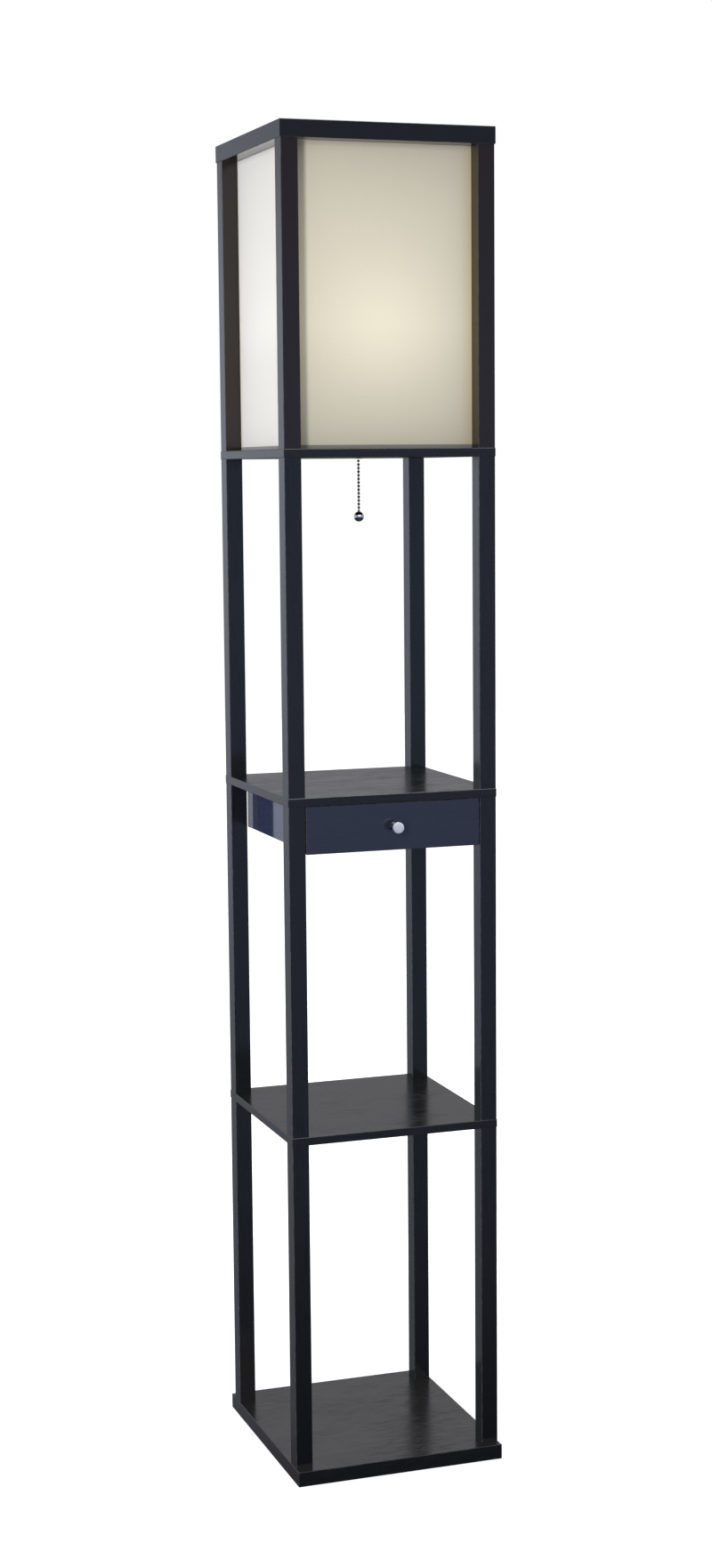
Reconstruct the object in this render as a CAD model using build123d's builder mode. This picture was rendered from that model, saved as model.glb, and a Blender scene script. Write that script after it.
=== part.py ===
"""A free-standing shelf lamp in black wood.

Four tiers of square posts are joined through three boards, with a drawer under the middle
shelf and a box shade at the top. A bead chain below the light-box floor works the switch.
X is the width, the drawer front faces -Y, and Z is up from the floor under the base.
"""

import os
from math import cos, radians, sin

from build123d import *

os.makedirs("parts", exist_ok=True)

# ---------------------------------------------------------------- driving dimensions (mm)
# Base, posts and boards
base_side_proud = 1.0  # how far the base stands out past the posts at each side
base_end_proud = 12.0  # the same at the front and at the back
base_thickness = 18.0
frame_width = 258.0  # over the outside of the posts, along X
frame_depth = 258.0  # over the outside of the posts, along Y
post_width = 20.5
post_depth = 22.0
bottom_post_length = 393.0
lower_post_length = 391.0
middle_post_length = 390.0
light_post_length = 346.0
board_thickness = 10.0
board_proud = 0.5  # how far a board stands out past the posts
top_rail_height = 20.0
top_rail_width = 24.0
top_rail_proud = 1.0  # how far the top frame stands out past the posts
edge_chamfer = 0.6

# Fasteners and their fits
bolt_radius = 3.0
bolt_head_radius = 6.0
bolt_reach = 12.0  # thread of a bolt or stud inside its insert
stud_embed = 20.0  # wood thread of a stud inside the post above
insert_radius = 5.0
insert_length = 15.0
stud_end_chamfer = 1.0
screw_radius = 1.75
screw_head_radius = 3.5
top_screw_reach = 24.0  # top-frame screw inside the post
top_screw_side = 5.0  # from the inner side of the posts to the top-frame screws
top_screw_edge = 8.5  # from the outside of the front and back rails to the same screws
case_screw_length = 19.0
case_screw_edge = 14.0  # from the case back's upper and lower edge to its screws
drive_recess_radius = 1.5
drive_recess_depth = 1.2
head_sink = 0.3  # a countersunk head lies this far under the surface
thread_fit = 0.05  # radial gap between a thread and its hole
free_fit = 0.2  # radial gap round a shank in a clearance hole
end_gap = 2.0  # hole left past the tip of a fastener

# Drawer and the case it runs in
drawer_front_height = 56.0
drawer_front_thickness = 12.0
drawer_top_gap = 0.5
drawer_end_gap = 0.8  # between the drawer front and each front post
case_side_inset = 6.8  # from the inner side of the posts to the outside of the case sides
case_back_inset = 1.0  # from the outside of the rear posts to the outside of the case back
case_side_thickness = 8.0
case_back_thickness = 10.0
case_front_gap = 0.5  # between the drawer front and the case sides
case_dowel_rise = 7.0  # dowel inside the middle shelf
case_dowel_inset = 25.0  # from the ends of a case board to its outer dowels
runner_width = 8.0
runner_height = 6.0
drawer_side_gap = 1.0
drawer_lift_gap = 0.3  # between a runner and the drawer side that slides on it
drawer_kicker_gap = 1.0  # between the drawer sides and the shelf above
drawer_side_thickness = 8.0
drawer_back_thickness = 8.0
drawer_back_gap = 10.0  # between the closed drawer and the case back
drawer_bottom_thickness = 3.0
drawer_bottom_rise = 4.0  # underside of the bottom panel over the drawer side's lower edge
groove_depth = 4.0
groove_gap = 0.1
dowel_radius = 2.5
dowel_length = 16.0
dowel_end_chamfer = 0.6
dowel_skin = 2.0  # wood left outside a dowel that runs through a drawer side
dowel_edge = 11.0  # from the edge of a drawer side to its dowels

# Knob
knob_radius = 6.7
knob_head_thickness = 5.0
knob_groove_depth = 0.5
knob_groove_back = 2.3  # from the knob's face to its groove
knob_neck_radius = 3.6
knob_foot_radius = 5.0
knob_foot_thickness = 1.6
knob_projection = 17.5
knob_screw_radius = 2.0
knob_screw_reach = 8.0
knob_screw_head_radius = 3.8
knob_screw_head_height = 2.4
knob_screw_rim_height = 1.2  # straight rim under the domed face of the head
knob_screw_face_radius = 2.7

# Shade
shade_gap = 0.4  # between the hems and the posts
hem_thickness = 0.5
hem_height = 4.5
sleeve_thickness = 1.0
shade_top_gap = 1.0
stiffener_width = 3.0
stiffener_height = 4.0
stiffener_corner = 0.5

# Lampholder and bulb
riser_radius = 5.0
riser_bore_radius = 3.5
riser_length = 50.0
nut_across_flats = 16.0
nut_height = 5.0
nut_recess_radius = 11.0
nut_recess_depth = 6.0
cap_radius = 17.0
cap_height = 20.0
cap_wall = 1.5
cap_hub_radius = 8.0
cap_hub_height = 10.0
shell_wall = 1.2
shell_height = 42.0
shell_overlap = 4.0  # the shell's skirt comes down outside the cap by this much
insulator_height = 9.0
screw_shell_wall = 0.5
screw_shell_height = 24.0
terminal_hole_radius = 1.5
terminal_hole_offset = 8.5
contact_radius = 4.0
contact_height = 1.5
bulb_base_radius = 13.1
bulb_base_wall = 0.6
bulb_base_gap = 0.3  # radial gap to the screw shell
bulb_base_height = 22.0
bulb_tip_radius = 4.5
bulb_tip_height = 3.0
bulb_cone_height = 2.9  # from the tip to the straight side of the cap
bulb_floor_height = 4.3  # from the tip to the floor inside the cap
bulb_radius = 30.0
bulb_neck_height = 16.0  # from the top of the base to where the bulb starts to swell
bulb_length = 84.0  # glass from the top of the base to the crown
bulb_wall = 1.0
bulb_seat = 5.0  # glass neck inside the base

# Pull chain
chain_stand_off = 5.2  # from the lampholder's cap to the middle of the chain
chain_turn = 7.5  # degrees from the front towards the left, seen from the lampholder
horn_wall = 1.6
horn_stub_radius = 2.8
horn_height = 9.0
bead_radius = 1.6
bead_pitch = 4.25
chain_wire_radius = 0.55
chain_gap = 0.4  # radial gap between a bead and the horn or bushing it runs through
link_stub = 0.35  # wire left past the last bead of a run
bushing_wall = 0.9
bushing_flange_radius = 5.0
bushing_flange_thickness = 1.0
pivot_drop = 3.6  # pivot of the hanging chain under the light-box floor
lower_bead_count = 14
pull_ball_radius = 6.0
ball_gap = 0.3  # how far the last bead's centre stands over the top of the ball
ball_seat_depth = 1.8  # bore in the ball that takes the last bead

# Gland of the supply lead
gland_side_inset = 20.5  # from the inner side of the posts, along X
gland_rear_inset = 17.0  # from the inner side of the posts, along Y
gland_bore_radius = 3.2
gland_wall = 1.3
gland_flange_radius = 6.5
gland_flange_thickness = 1.6

# ---------------------------------------------------------------- heights and places
lower_shelf_z = base_thickness + bottom_post_length
middle_shelf_z = lower_shelf_z + board_thickness + lower_post_length
light_floor_z = middle_shelf_z + board_thickness + middle_post_length
light_box_z = light_floor_z + board_thickness
top_frame_z = light_box_z + light_post_length
base_width = frame_width + 2 * base_side_proud
base_depth = frame_depth + 2 * base_end_proud
post_x = (frame_width - post_width) / 2
post_y = (frame_depth - post_depth) / 2
opening_x = frame_width / 2 - post_width  # half the clear opening between the posts
opening_y = frame_depth / 2 - post_depth

tiers = {
    "bottom": (base_thickness, bottom_post_length),
    "lower": (lower_shelf_z + board_thickness, lower_post_length),
    "middle": (middle_shelf_z + board_thickness, middle_post_length),
    "light": (light_box_z, light_post_length),
}
corners = {
    "front_left": (-post_x, -post_y),
    "front_right": (post_x, -post_y),
    "rear_left": (-post_x, post_y),
    "rear_right": (post_x, post_y),
}
top_outer_x = frame_width / 2 + top_rail_proud
top_outer_y = frame_depth / 2 + top_rail_proud
head_room = head_sink + free_fit  # a countersink is wider than its sunk head by this much
chain_reach = cap_radius + chain_stand_off
chain_x = -chain_reach * sin(radians(chain_turn))
chain_y = -chain_reach * cos(radians(chain_turn))
bushing_bore = bead_radius + chain_gap
bushing_radius = bushing_bore + bushing_wall
gland_radius = gland_bore_radius + gland_wall
gland_x = opening_x - gland_side_inset
gland_y = opening_y - gland_rear_inset
top_screw_x = opening_x + top_screw_side
top_screw_y = top_outer_y - top_screw_edge
top_screws = [(sx * top_screw_x, sy * top_screw_y) for sx in (-1, 1) for sy in (-1, 1)]

# The drawer case hangs under the middle shelf, level with the drawer front's lower edge.
drawer_floor_z = middle_shelf_z - drawer_top_gap - drawer_front_height
case_height = middle_shelf_z - drawer_floor_z
front_face_y = -frame_depth / 2
drawer_front_back_y = front_face_y + drawer_front_thickness
case_front_y = drawer_front_back_y + case_front_gap
case_back_outer_y = frame_depth / 2 - case_back_inset
case_back_inner_y = case_back_outer_y - case_back_thickness
case_outer_x = opening_x - case_side_inset
case_inner_x = case_outer_x - case_side_thickness
case_side_mid_x = (case_outer_x + case_inner_x) / 2
case_side_mid_y = (case_front_y + case_back_inner_y) / 2
case_back_mid_y = (case_back_inner_y + case_back_outer_y) / 2
front_dowel_y = case_front_y + case_dowel_inset
rear_dowel_y = case_back_inner_y - case_dowel_inset
side_dowels = [
    (side * case_side_mid_x, y)
    for side in (-1, 1)
    for y in (front_dowel_y, case_side_mid_y, rear_dowel_y)
]
back_dowels = [(side * (case_outer_x - case_dowel_inset), case_back_mid_y) for side in (-1, 1)]


def back_screw_places(side):
    """List where the case back's screws start, each turned to run forwards into a case side."""
    return [
        Location((side * case_side_mid_x, case_back_outer_y, z), (-90, 0, 0))
        for z in (drawer_floor_z + case_screw_edge, middle_shelf_z - case_screw_edge)
    ]


def upright_dowel_holes(places, bottom_z, depth):
    """Make cutters that run up from the given height for the dowels of the case."""
    with BuildPart() as cutters:
        with Locations(*[(x, y, bottom_z) for x, y in places]):
            Cylinder(
                dowel_radius + thread_fit, depth, align=(Align.CENTER, Align.CENTER, Align.MIN)
            )
    return cutters.part


def save(builder, label):
    """Label a finished piece and write it as one STEP file."""
    builder.part.label = label
    export_step(builder.part, f"parts/{label}.step")


def countersunk_screw(shank_radius, head_radius, length):
    """Make a countersunk fastener that points down -Z, with its head's face at the origin."""
    cone = head_radius - shank_radius
    with BuildPart() as screw:
        with BuildSketch(Plane.XZ):
            with BuildLine():
                Polyline(
                    (0, 0),
                    (head_radius, 0),
                    (shank_radius, -cone),
                    (shank_radius, -length + shank_radius / 2),
                    (shank_radius / 2, -length),
                    (0, -length),
                    close=True,
                )
            make_face()
        revolve(axis=Axis.Z)
        with BuildSketch():
            RegularPolygon(drive_recess_radius, 6)
        extrude(amount=-drive_recess_depth, mode=Mode.SUBTRACT)
    return screw.part


def ring(outer_radius, inner_radius, height):
    """Make a round tube that stands on the origin."""
    with BuildPart() as round_tube:
        with BuildSketch():
            Circle(outer_radius)
            Circle(inner_radius, mode=Mode.SUBTRACT)
        extrude(amount=height)
    return round_tube.part


def frame_ring(half_x, half_y, wall, corner_radius, height):
    """Make a square-cornered tube that stands on the origin, with rounded upright corners."""
    with BuildPart() as square_tube:
        with BuildSketch():
            RectangleRounded(2 * half_x, 2 * half_y, corner_radius)
            Rectangle(2 * (half_x - wall), 2 * (half_y - wall), mode=Mode.SUBTRACT)
        extrude(amount=height)
    return square_tube.part


def bead_chain(bead_heights, wire_bottom, wire_top):
    """Make one run of bead chain along the chain's line, as beads joined by a thin wire."""
    with BuildPart() as chain:
        with Locations((chain_x, chain_y, wire_bottom)):
            Cylinder(
                chain_wire_radius,
                wire_top - wire_bottom,
                align=(Align.CENTER, Align.CENTER, Align.MIN),
            )
        with Locations(*[(chain_x, chain_y, z) for z in bead_heights]):
            Sphere(bead_radius)
    return chain.part


# ---------------------------------------------------------------- base and posts
bolt_length = base_thickness - head_sink + bolt_reach
with BuildPart() as base_board:
    Box(base_width, base_depth, base_thickness, align=(Align.CENTER, Align.CENTER, Align.MIN))
    chamfer(base_board.edges(), edge_chamfer)
    with Locations(*[Location((x, y, 0), (180, 0, 0)) for x, y in corners.values()]):
        CounterSinkHole(
            bolt_radius + free_fit, bolt_head_radius + head_room, counter_sink_angle=90
        )
save(base_board, "base_board")

base_bolt = countersunk_screw(bolt_radius, bolt_head_radius, bolt_length)
with BuildPart() as base_bolts:
    with Locations(*[Location((x, y, head_sink), (180, 0, 0)) for x, y in corners.values()]):
        add(base_bolt)
save(base_bolts, "base_bolts")

for tier, (tier_z, post_length) in tiers.items():
    for corner, (x, y) in corners.items():
        with BuildPart() as post:
            with Locations((x, y, tier_z)):
                Box(
                    post_width,
                    post_depth,
                    post_length,
                    align=(Align.CENTER, Align.CENTER, Align.MIN),
                )
            chamfer(post.edges().filter_by(Axis.Z), edge_chamfer)
            with Locations(Location((x, y, tier_z), (180, 0, 0))):
                if tier == "bottom":
                    Hole(insert_radius + thread_fit, insert_length)
                else:
                    Hole(bolt_radius + thread_fit, stud_embed + end_gap)
            if tier == "light":
                side_x = top_screw_x if x > 0 else -top_screw_x
                side_y = top_screw_y if y > 0 else -top_screw_y
                with Locations((side_x, side_y, tier_z + post_length)):
                    Hole(screw_radius + thread_fit, top_screw_reach + end_gap)
            else:
                with Locations((x, y, tier_z + post_length)):
                    Hole(insert_radius + thread_fit, insert_length)
        save(post, f"{tier}_post_{corner}")

insert_bottoms = [base_thickness] + [
    start + length - insert_length for tier, (start, length) in tiers.items() if tier != "light"
]
insert = ring(insert_radius, bolt_radius + thread_fit, insert_length)
with BuildPart() as threaded_inserts:
    for bottom_z in insert_bottoms:
        with Locations(*[(x, y, bottom_z) for x, y in corners.values()]):
            add(insert)
save(threaded_inserts, "threaded_inserts")

stud_length = bolt_reach + board_thickness + stud_embed
with BuildPart() as stud:
    Cylinder(bolt_radius, stud_length, align=(Align.CENTER, Align.CENTER, Align.MIN))
    chamfer(stud.edges(), stud_end_chamfer)
with BuildPart() as hanger_studs:
    for board_z in (lower_shelf_z, middle_shelf_z, light_floor_z):
        with Locations(*[(x, y, board_z - bolt_reach) for x, y in corners.values()]):
            add(stud.part)
save(hanger_studs, "hanger_studs")

# ---------------------------------------------------------------- shelves and light-box floor
board_width = frame_width + 2 * board_proud
board_depth = frame_depth + 2 * board_proud
for label, board_z in (("lower_shelf", lower_shelf_z), ("middle_shelf", middle_shelf_z)):
    with BuildPart() as shelf:
        with Locations((0, 0, board_z)):
            Box(
                board_width,
                board_depth,
                board_thickness,
                align=(Align.CENTER, Align.CENTER, Align.MIN),
            )
        chamfer(shelf.edges(), edge_chamfer)
        with Locations(*[(x, y, board_z + board_thickness) for x, y in corners.values()]):
            Hole(bolt_radius + free_fit)
        if label == "middle_shelf":
            holes = upright_dowel_holes([*side_dowels, *back_dowels], board_z, case_dowel_rise)
            add(holes, mode=Mode.SUBTRACT)
    save(shelf, label)

with BuildPart() as light_floor:
    with Locations((0, 0, light_floor_z)):
        Box(
            board_width,
            board_depth,
            board_thickness,
            align=(Align.CENTER, Align.CENTER, Align.MIN),
        )
    chamfer(light_floor.edges(), edge_chamfer)
    with Locations(*[(x, y, light_box_z) for x, y in corners.values()]):
        Hole(bolt_radius + free_fit)
    with Locations(Location((0, 0, light_floor_z), (180, 0, 0))):
        CounterBoreHole(riser_radius + free_fit, nut_recess_radius, nut_recess_depth)
    with Locations((chain_x, chain_y, light_box_z)):
        Hole(bushing_radius + thread_fit)
    with Locations((gland_x, gland_y, light_box_z)):
        Hole(gland_radius + thread_fit)
save(light_floor, "light_floor")

# ---------------------------------------------------------------- top frame
top_inner_x = top_outer_x - top_rail_width
top_inner_y = top_outer_y - top_rail_width
top_z = top_frame_z + top_rail_height
outer_corners = {"a": (-1, -1), "b": (1, -1), "c": (1, 1), "d": (-1, 1)}
for label, first, second in (
    ("top_rail_front", "a", "b"),
    ("top_rail_right", "b", "c"),
    ("top_rail_back", "c", "d"),
    ("top_rail_left", "d", "a"),
):
    (x1, y1), (x2, y2) = outer_corners[first], outer_corners[second]
    outside = [(x1 * top_outer_x, y1 * top_outer_y), (x2 * top_outer_x, y2 * top_outer_y)]
    inside = [(x2 * top_inner_x, y2 * top_inner_y), (x1 * top_inner_x, y1 * top_inner_y)]
    along = Axis.X if y1 == y2 else Axis.Y
    outward = (Axis.Y if along == Axis.X else Axis.X).direction * (y1 if along == Axis.X else x1)
    with BuildPart() as rail:
        with BuildSketch(Plane.XY.offset(top_frame_z)):
            Polygon(*outside, *inside, align=None)
        extrude(amount=top_rail_height)
        long_edges = rail.edges().filter_by(along).sort_by(Axis((0, 0, 0), outward))
        chamfer(long_edges[-2:], edge_chamfer)
        if along == Axis.X:
            with Locations(*[(x, y, top_z) for x, y in top_screws if y * y1 > 0]):
                CounterSinkHole(
                    screw_radius + free_fit, screw_head_radius + head_room, counter_sink_angle=90
                )
    save(rail, label)

top_screw = countersunk_screw(
    screw_radius, screw_head_radius, top_rail_height - head_sink + top_screw_reach
)
with BuildPart() as top_frame_screws:
    with Locations(*[(x, y, top_z - head_sink) for x, y in top_screws]):
        add(top_screw)
save(top_frame_screws, "top_frame_screws")

# ---------------------------------------------------------------- drawer case
case_dowel_z = middle_shelf_z + case_dowel_rise - dowel_length
for side, name in ((-1, "left"), (1, "right")):
    with BuildPart() as case_side:
        with Locations((side * case_side_mid_x, case_side_mid_y, drawer_floor_z)):
            Box(
                case_side_thickness,
                case_back_inner_y - case_front_y,
                case_height,
                align=(Align.CENTER, Align.CENTER, Align.MIN),
            )
        chamfer(case_side.edges().filter_by(Axis.Y), edge_chamfer)
        own_dowels = [(x, y) for x, y in side_dowels if x * side > 0]
        add(upright_dowel_holes(own_dowels, case_dowel_z, dowel_length), mode=Mode.SUBTRACT)
        with Locations(*back_screw_places(side)):
            Hole(screw_radius + thread_fit, case_screw_length + end_gap)
    save(case_side, f"case_side_{name}")

with BuildPart() as case_back:
    with Locations((0, case_back_mid_y, drawer_floor_z)):
        Box(
            2 * case_outer_x,
            case_back_thickness,
            case_height,
            align=(Align.CENTER, Align.CENTER, Align.MIN),
        )
    chamfer(case_back.edges().filter_by(Axis.X), edge_chamfer)
    add(upright_dowel_holes(back_dowels, case_dowel_z, dowel_length), mode=Mode.SUBTRACT)
    with Locations(*back_screw_places(-1), *back_screw_places(1)):
        CounterSinkHole(
            screw_radius + free_fit,
            screw_head_radius + head_room,
            depth=case_back_thickness,
            counter_sink_angle=90,
        )
save(case_back, "case_back")

case_screw = countersunk_screw(screw_radius, screw_head_radius, case_screw_length - head_sink)
with BuildPart() as case_screws:
    with Locations(*back_screw_places(-1), *back_screw_places(1)):
        with Locations((0, 0, -head_sink)):
            add(case_screw)
save(case_screws, "case_screws")

with BuildPart() as dowel:
    Cylinder(dowel_radius, dowel_length, align=(Align.CENTER, Align.CENTER, Align.MIN))
    chamfer(dowel.edges(), dowel_end_chamfer)
with BuildPart() as case_dowels:
    with Locations(*[(x, y, case_dowel_z) for x, y in [*side_dowels, *back_dowels]]):
        add(dowel.part)
save(case_dowels, "case_dowels")

with BuildPart() as drawer_runners:
    for side in (-1, 1):
        x_mid = side * (case_inner_x - runner_width / 2)
        with Locations((x_mid, case_side_mid_y, drawer_floor_z)):
            Box(
                runner_width,
                case_back_inner_y - case_front_y,
                runner_height,
                align=(Align.CENTER, Align.CENTER, Align.MIN),
            )
save(drawer_runners, "drawer_runners")

# ---------------------------------------------------------------- drawer
drawer_side_low_z = drawer_floor_z + runner_height + drawer_lift_gap
drawer_side_top_z = middle_shelf_z - drawer_kicker_gap
drawer_side_outer_x = case_inner_x - drawer_side_gap
drawer_side_inner_x = drawer_side_outer_x - drawer_side_thickness
drawer_side_mid_x = (drawer_side_outer_x + drawer_side_inner_x) / 2
drawer_back_outer_y = case_back_inner_y - drawer_back_gap
drawer_back_inner_y = drawer_back_outer_y - drawer_back_thickness
knob_z = drawer_floor_z + drawer_front_height / 2
panel_z = drawer_side_low_z + drawer_bottom_rise
panel_reach = groove_depth - groove_gap
dowel_zs = (drawer_side_low_z + dowel_edge, drawer_side_top_z - dowel_edge)
dowel_start_y = drawer_front_back_y - dowel_length / 2
dowel_start_x = drawer_side_outer_x - dowel_skin
dowel_back_y = (drawer_back_inner_y + drawer_back_outer_y) / 2


def front_dowel_places(sides):
    """List the front ends of the dowels that join the drawer sides to its front."""
    return [
        Location((side * drawer_side_mid_x, dowel_start_y, z), (-90, 0, 0))
        for side in sides
        for z in dowel_zs
    ]


def back_dowel_places(sides):
    """List the outer ends of the dowels that join the drawer sides to its back."""
    return [
        Location((side * dowel_start_x, dowel_back_y, z), (0, -side * 90, 0))
        for side in sides
        for z in dowel_zs
    ]


def dowel_holes(places):
    """Make the cutters for the dowels at the given places."""
    with BuildPart() as cutters:
        with Locations(*places):
            Cylinder(
                dowel_radius + thread_fit,
                dowel_length,
                align=(Align.CENTER, Align.CENTER, Align.MIN),
            )
    return cutters.part


def panel_groove():
    """Make the cutter for the groove that holds the drawer's bottom panel all round."""
    y_low = drawer_front_back_y - groove_depth
    y_high = drawer_back_inner_y + groove_depth
    with BuildPart() as groove:
        with Locations((0, (y_low + y_high) / 2, panel_z - groove_gap)):
            Box(
                2 * (drawer_side_inner_x + groove_depth),
                y_high - y_low,
                drawer_bottom_thickness + 2 * groove_gap,
                align=(Align.CENTER, Align.CENTER, Align.MIN),
            )
    return groove.part


with BuildPart() as drawer_front:
    with Locations((0, (front_face_y + drawer_front_back_y) / 2, drawer_floor_z)):
        Box(
            2 * (opening_x - drawer_end_gap),
            drawer_front_thickness,
            drawer_front_height,
            align=(Align.CENTER, Align.CENTER, Align.MIN),
        )
    chamfer(drawer_front.edges(), edge_chamfer)
    with Locations(Location((0, front_face_y, knob_z), (90, 0, 0))):
        Hole(knob_screw_radius + free_fit)
    add(panel_groove(), mode=Mode.SUBTRACT)
    add(dowel_holes(front_dowel_places((-1, 1))), mode=Mode.SUBTRACT)
save(drawer_front, "drawer_front")

for side, name in ((-1, "left"), (1, "right")):
    with BuildPart() as drawer_side:
        y_mid = (drawer_front_back_y + drawer_back_outer_y) / 2
        with Locations((side * drawer_side_mid_x, y_mid, drawer_side_low_z)):
            Box(
                drawer_side_thickness,
                drawer_back_outer_y - drawer_front_back_y,
                drawer_side_top_z - drawer_side_low_z,
                align=(Align.CENTER, Align.CENTER, Align.MIN),
            )
        chamfer(drawer_side.edges().filter_by(Axis.Y), edge_chamfer)
        add(panel_groove(), mode=Mode.SUBTRACT)
        add(dowel_holes(front_dowel_places([side])), mode=Mode.SUBTRACT)
        add(dowel_holes(back_dowel_places([side])), mode=Mode.SUBTRACT)
    save(drawer_side, f"drawer_side_{name}")

with BuildPart() as drawer_back:
    with Locations((0, dowel_back_y, drawer_side_low_z)):
        Box(
            2 * drawer_side_inner_x,
            drawer_back_thickness,
            drawer_side_top_z - drawer_side_low_z,
            align=(Align.CENTER, Align.CENTER, Align.MIN),
        )
    chamfer(drawer_back.edges().filter_by(Axis.X), edge_chamfer)
    add(panel_groove(), mode=Mode.SUBTRACT)
    add(dowel_holes(back_dowel_places((-1, 1))), mode=Mode.SUBTRACT)
save(drawer_back, "drawer_back")

with BuildPart() as drawer_bottom:
    with Locations((0, (drawer_front_back_y + drawer_back_inner_y) / 2, panel_z)):
        Box(
            2 * (drawer_side_inner_x + panel_reach),
            drawer_back_inner_y - drawer_front_back_y + 2 * panel_reach,
            drawer_bottom_thickness,
            align=(Align.CENTER, Align.CENTER, Align.MIN),
        )
save(drawer_bottom, "drawer_bottom")

with BuildPart() as drawer_dowels:
    with Locations(*front_dowel_places((-1, 1)), *back_dowel_places((-1, 1))):
        add(dowel.part)
save(drawer_dowels, "drawer_dowels")

# The knob and its screw are turned about a line through the middle of the drawer front.
knob_axis = Axis((0, 0, knob_z), (0, 1, 0))
head_start = knob_projection - knob_head_thickness
groove_start = knob_projection - knob_groove_back
knob_outline = [
    (0, 0),
    (0, knob_foot_radius),
    (knob_foot_thickness, knob_foot_radius),
    (2 * knob_foot_thickness, knob_neck_radius),
    (head_start - 2 * knob_groove_depth, knob_neck_radius),
    (head_start, knob_radius - knob_groove_depth),
    (head_start + knob_groove_depth, knob_radius),
    (groove_start - knob_groove_depth, knob_radius),
    (groove_start, knob_radius - knob_groove_depth),
    (groove_start + knob_groove_depth, knob_radius),
    (knob_projection - knob_groove_depth, knob_radius),
    (knob_projection, knob_radius - knob_groove_depth),
    (knob_projection, 0),
]
with BuildPart() as drawer_knob:
    with BuildSketch(Plane.YZ):
        Polygon(*[(front_face_y - out, knob_z + r) for out, r in knob_outline], align=None)
    revolve(axis=knob_axis)
    with Locations(Location((0, front_face_y, knob_z), (-90, 0, 0))):
        Hole(knob_screw_radius + thread_fit, knob_screw_reach + end_gap)
save(drawer_knob, "drawer_knob")

screw_tip_y = front_face_y - knob_screw_reach
screw_outline = [
    (drawer_front_back_y + knob_screw_head_height, 0),
    (drawer_front_back_y + knob_screw_head_height, knob_screw_face_radius),
    (drawer_front_back_y + knob_screw_rim_height, knob_screw_head_radius),
    (drawer_front_back_y, knob_screw_head_radius),
    (drawer_front_back_y, knob_screw_radius),
    (screw_tip_y + knob_screw_radius / 2, knob_screw_radius),
    (screw_tip_y, knob_screw_radius / 2),
    (screw_tip_y, 0),
]
with BuildPart() as knob_screw:
    with BuildSketch(Plane.YZ):
        Polygon(*[(y, knob_z + r) for y, r in screw_outline], align=None)
    revolve(axis=knob_axis)
save(knob_screw, "knob_screw")

# ---------------------------------------------------------------- shade
hem_half_x = opening_x - shade_gap
hem_half_y = opening_y - shade_gap
sleeve_half_x = hem_half_x - hem_thickness
sleeve_half_y = hem_half_y - hem_thickness
sleeve_height = light_post_length - shade_top_gap
with BuildPart() as shade_sleeve:
    with Locations((0, 0, light_box_z)):
        add(frame_ring(sleeve_half_x, sleeve_half_y, sleeve_thickness, sleeve_thickness, sleeve_height))
save(shade_sleeve, "shade_sleeve")

with BuildPart() as shade_hems:
    with Locations((0, 0, light_box_z), (0, 0, light_box_z + sleeve_height - hem_height)):
        add(frame_ring(hem_half_x, hem_half_y, hem_thickness, hem_thickness, hem_height))
save(shade_hems, "shade_hems")

with BuildPart() as shade_stiffeners:
    with Locations((0, 0, light_box_z), (0, 0, light_box_z + sleeve_height - stiffener_height)):
        add(
            frame_ring(
                sleeve_half_x - sleeve_thickness,
                sleeve_half_y - sleeve_thickness,
                stiffener_width,
                stiffener_corner,
                stiffener_height,
            )
        )
save(shade_stiffeners, "shade_stiffeners")

# ---------------------------------------------------------------- lampholder
recess_ceiling_z = light_floor_z + nut_recess_depth
riser_bottom_z = recess_ceiling_z - nut_height
riser_top_z = riser_bottom_z + riser_length
with BuildPart() as riser_tube:
    with Locations((0, 0, riser_bottom_z)):
        add(ring(riser_radius, riser_bore_radius, riser_length))
save(riser_tube, "riser_tube")

with BuildPart() as nut:
    with BuildSketch():
        RegularPolygon(nut_across_flats / 2, 6, major_radius=False)
        Circle(riser_radius + thread_fit, mode=Mode.SUBTRACT)
    extrude(amount=nut_height)
with BuildPart() as riser_nuts:
    with Locations((0, 0, riser_bottom_z), (0, 0, light_box_z)):
        add(nut.part)
save(riser_nuts, "riser_nuts")

cap_z = riser_top_z - cap_hub_height
horn_bore = bead_radius + chain_gap
horn_z = cap_z + (cap_height - horn_height) / 2
horn_stub_start = cap_radius - cap_wall / 2
toward_chain = Plane(origin=(0, 0, horn_z + horn_height / 2), z_dir=(chain_x, chain_y, 0))
with BuildPart() as lampholder_cap:
    with BuildSketch(Plane.XZ):
        with BuildLine():
            Polyline(
                (riser_radius + thread_fit, cap_z),
                (cap_radius, cap_z),
                (cap_radius, cap_z + cap_height),
                (cap_radius - cap_wall, cap_z + cap_height),
                (cap_radius - cap_wall, cap_z + cap_wall),
                (cap_hub_radius, cap_z + cap_wall),
                (cap_hub_radius, cap_z + cap_hub_height),
                (riser_radius + thread_fit, cap_z + cap_hub_height),
                close=True,
            )
        make_face()
    revolve(axis=Axis.Z)
    with BuildSketch(toward_chain.offset(horn_stub_start)):
        Circle(horn_stub_radius)
    extrude(amount=chain_reach - horn_stub_start)
    with BuildSketch(Plane.XY.offset(horn_z)):
        with Locations((chain_x, chain_y)):
            Circle(horn_bore + horn_wall)
    extrude(amount=horn_height)
    with Locations((chain_x, chain_y, horn_z + horn_height)):
        Hole(horn_bore, horn_height)
save(lampholder_cap, "lampholder_cap")

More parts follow.
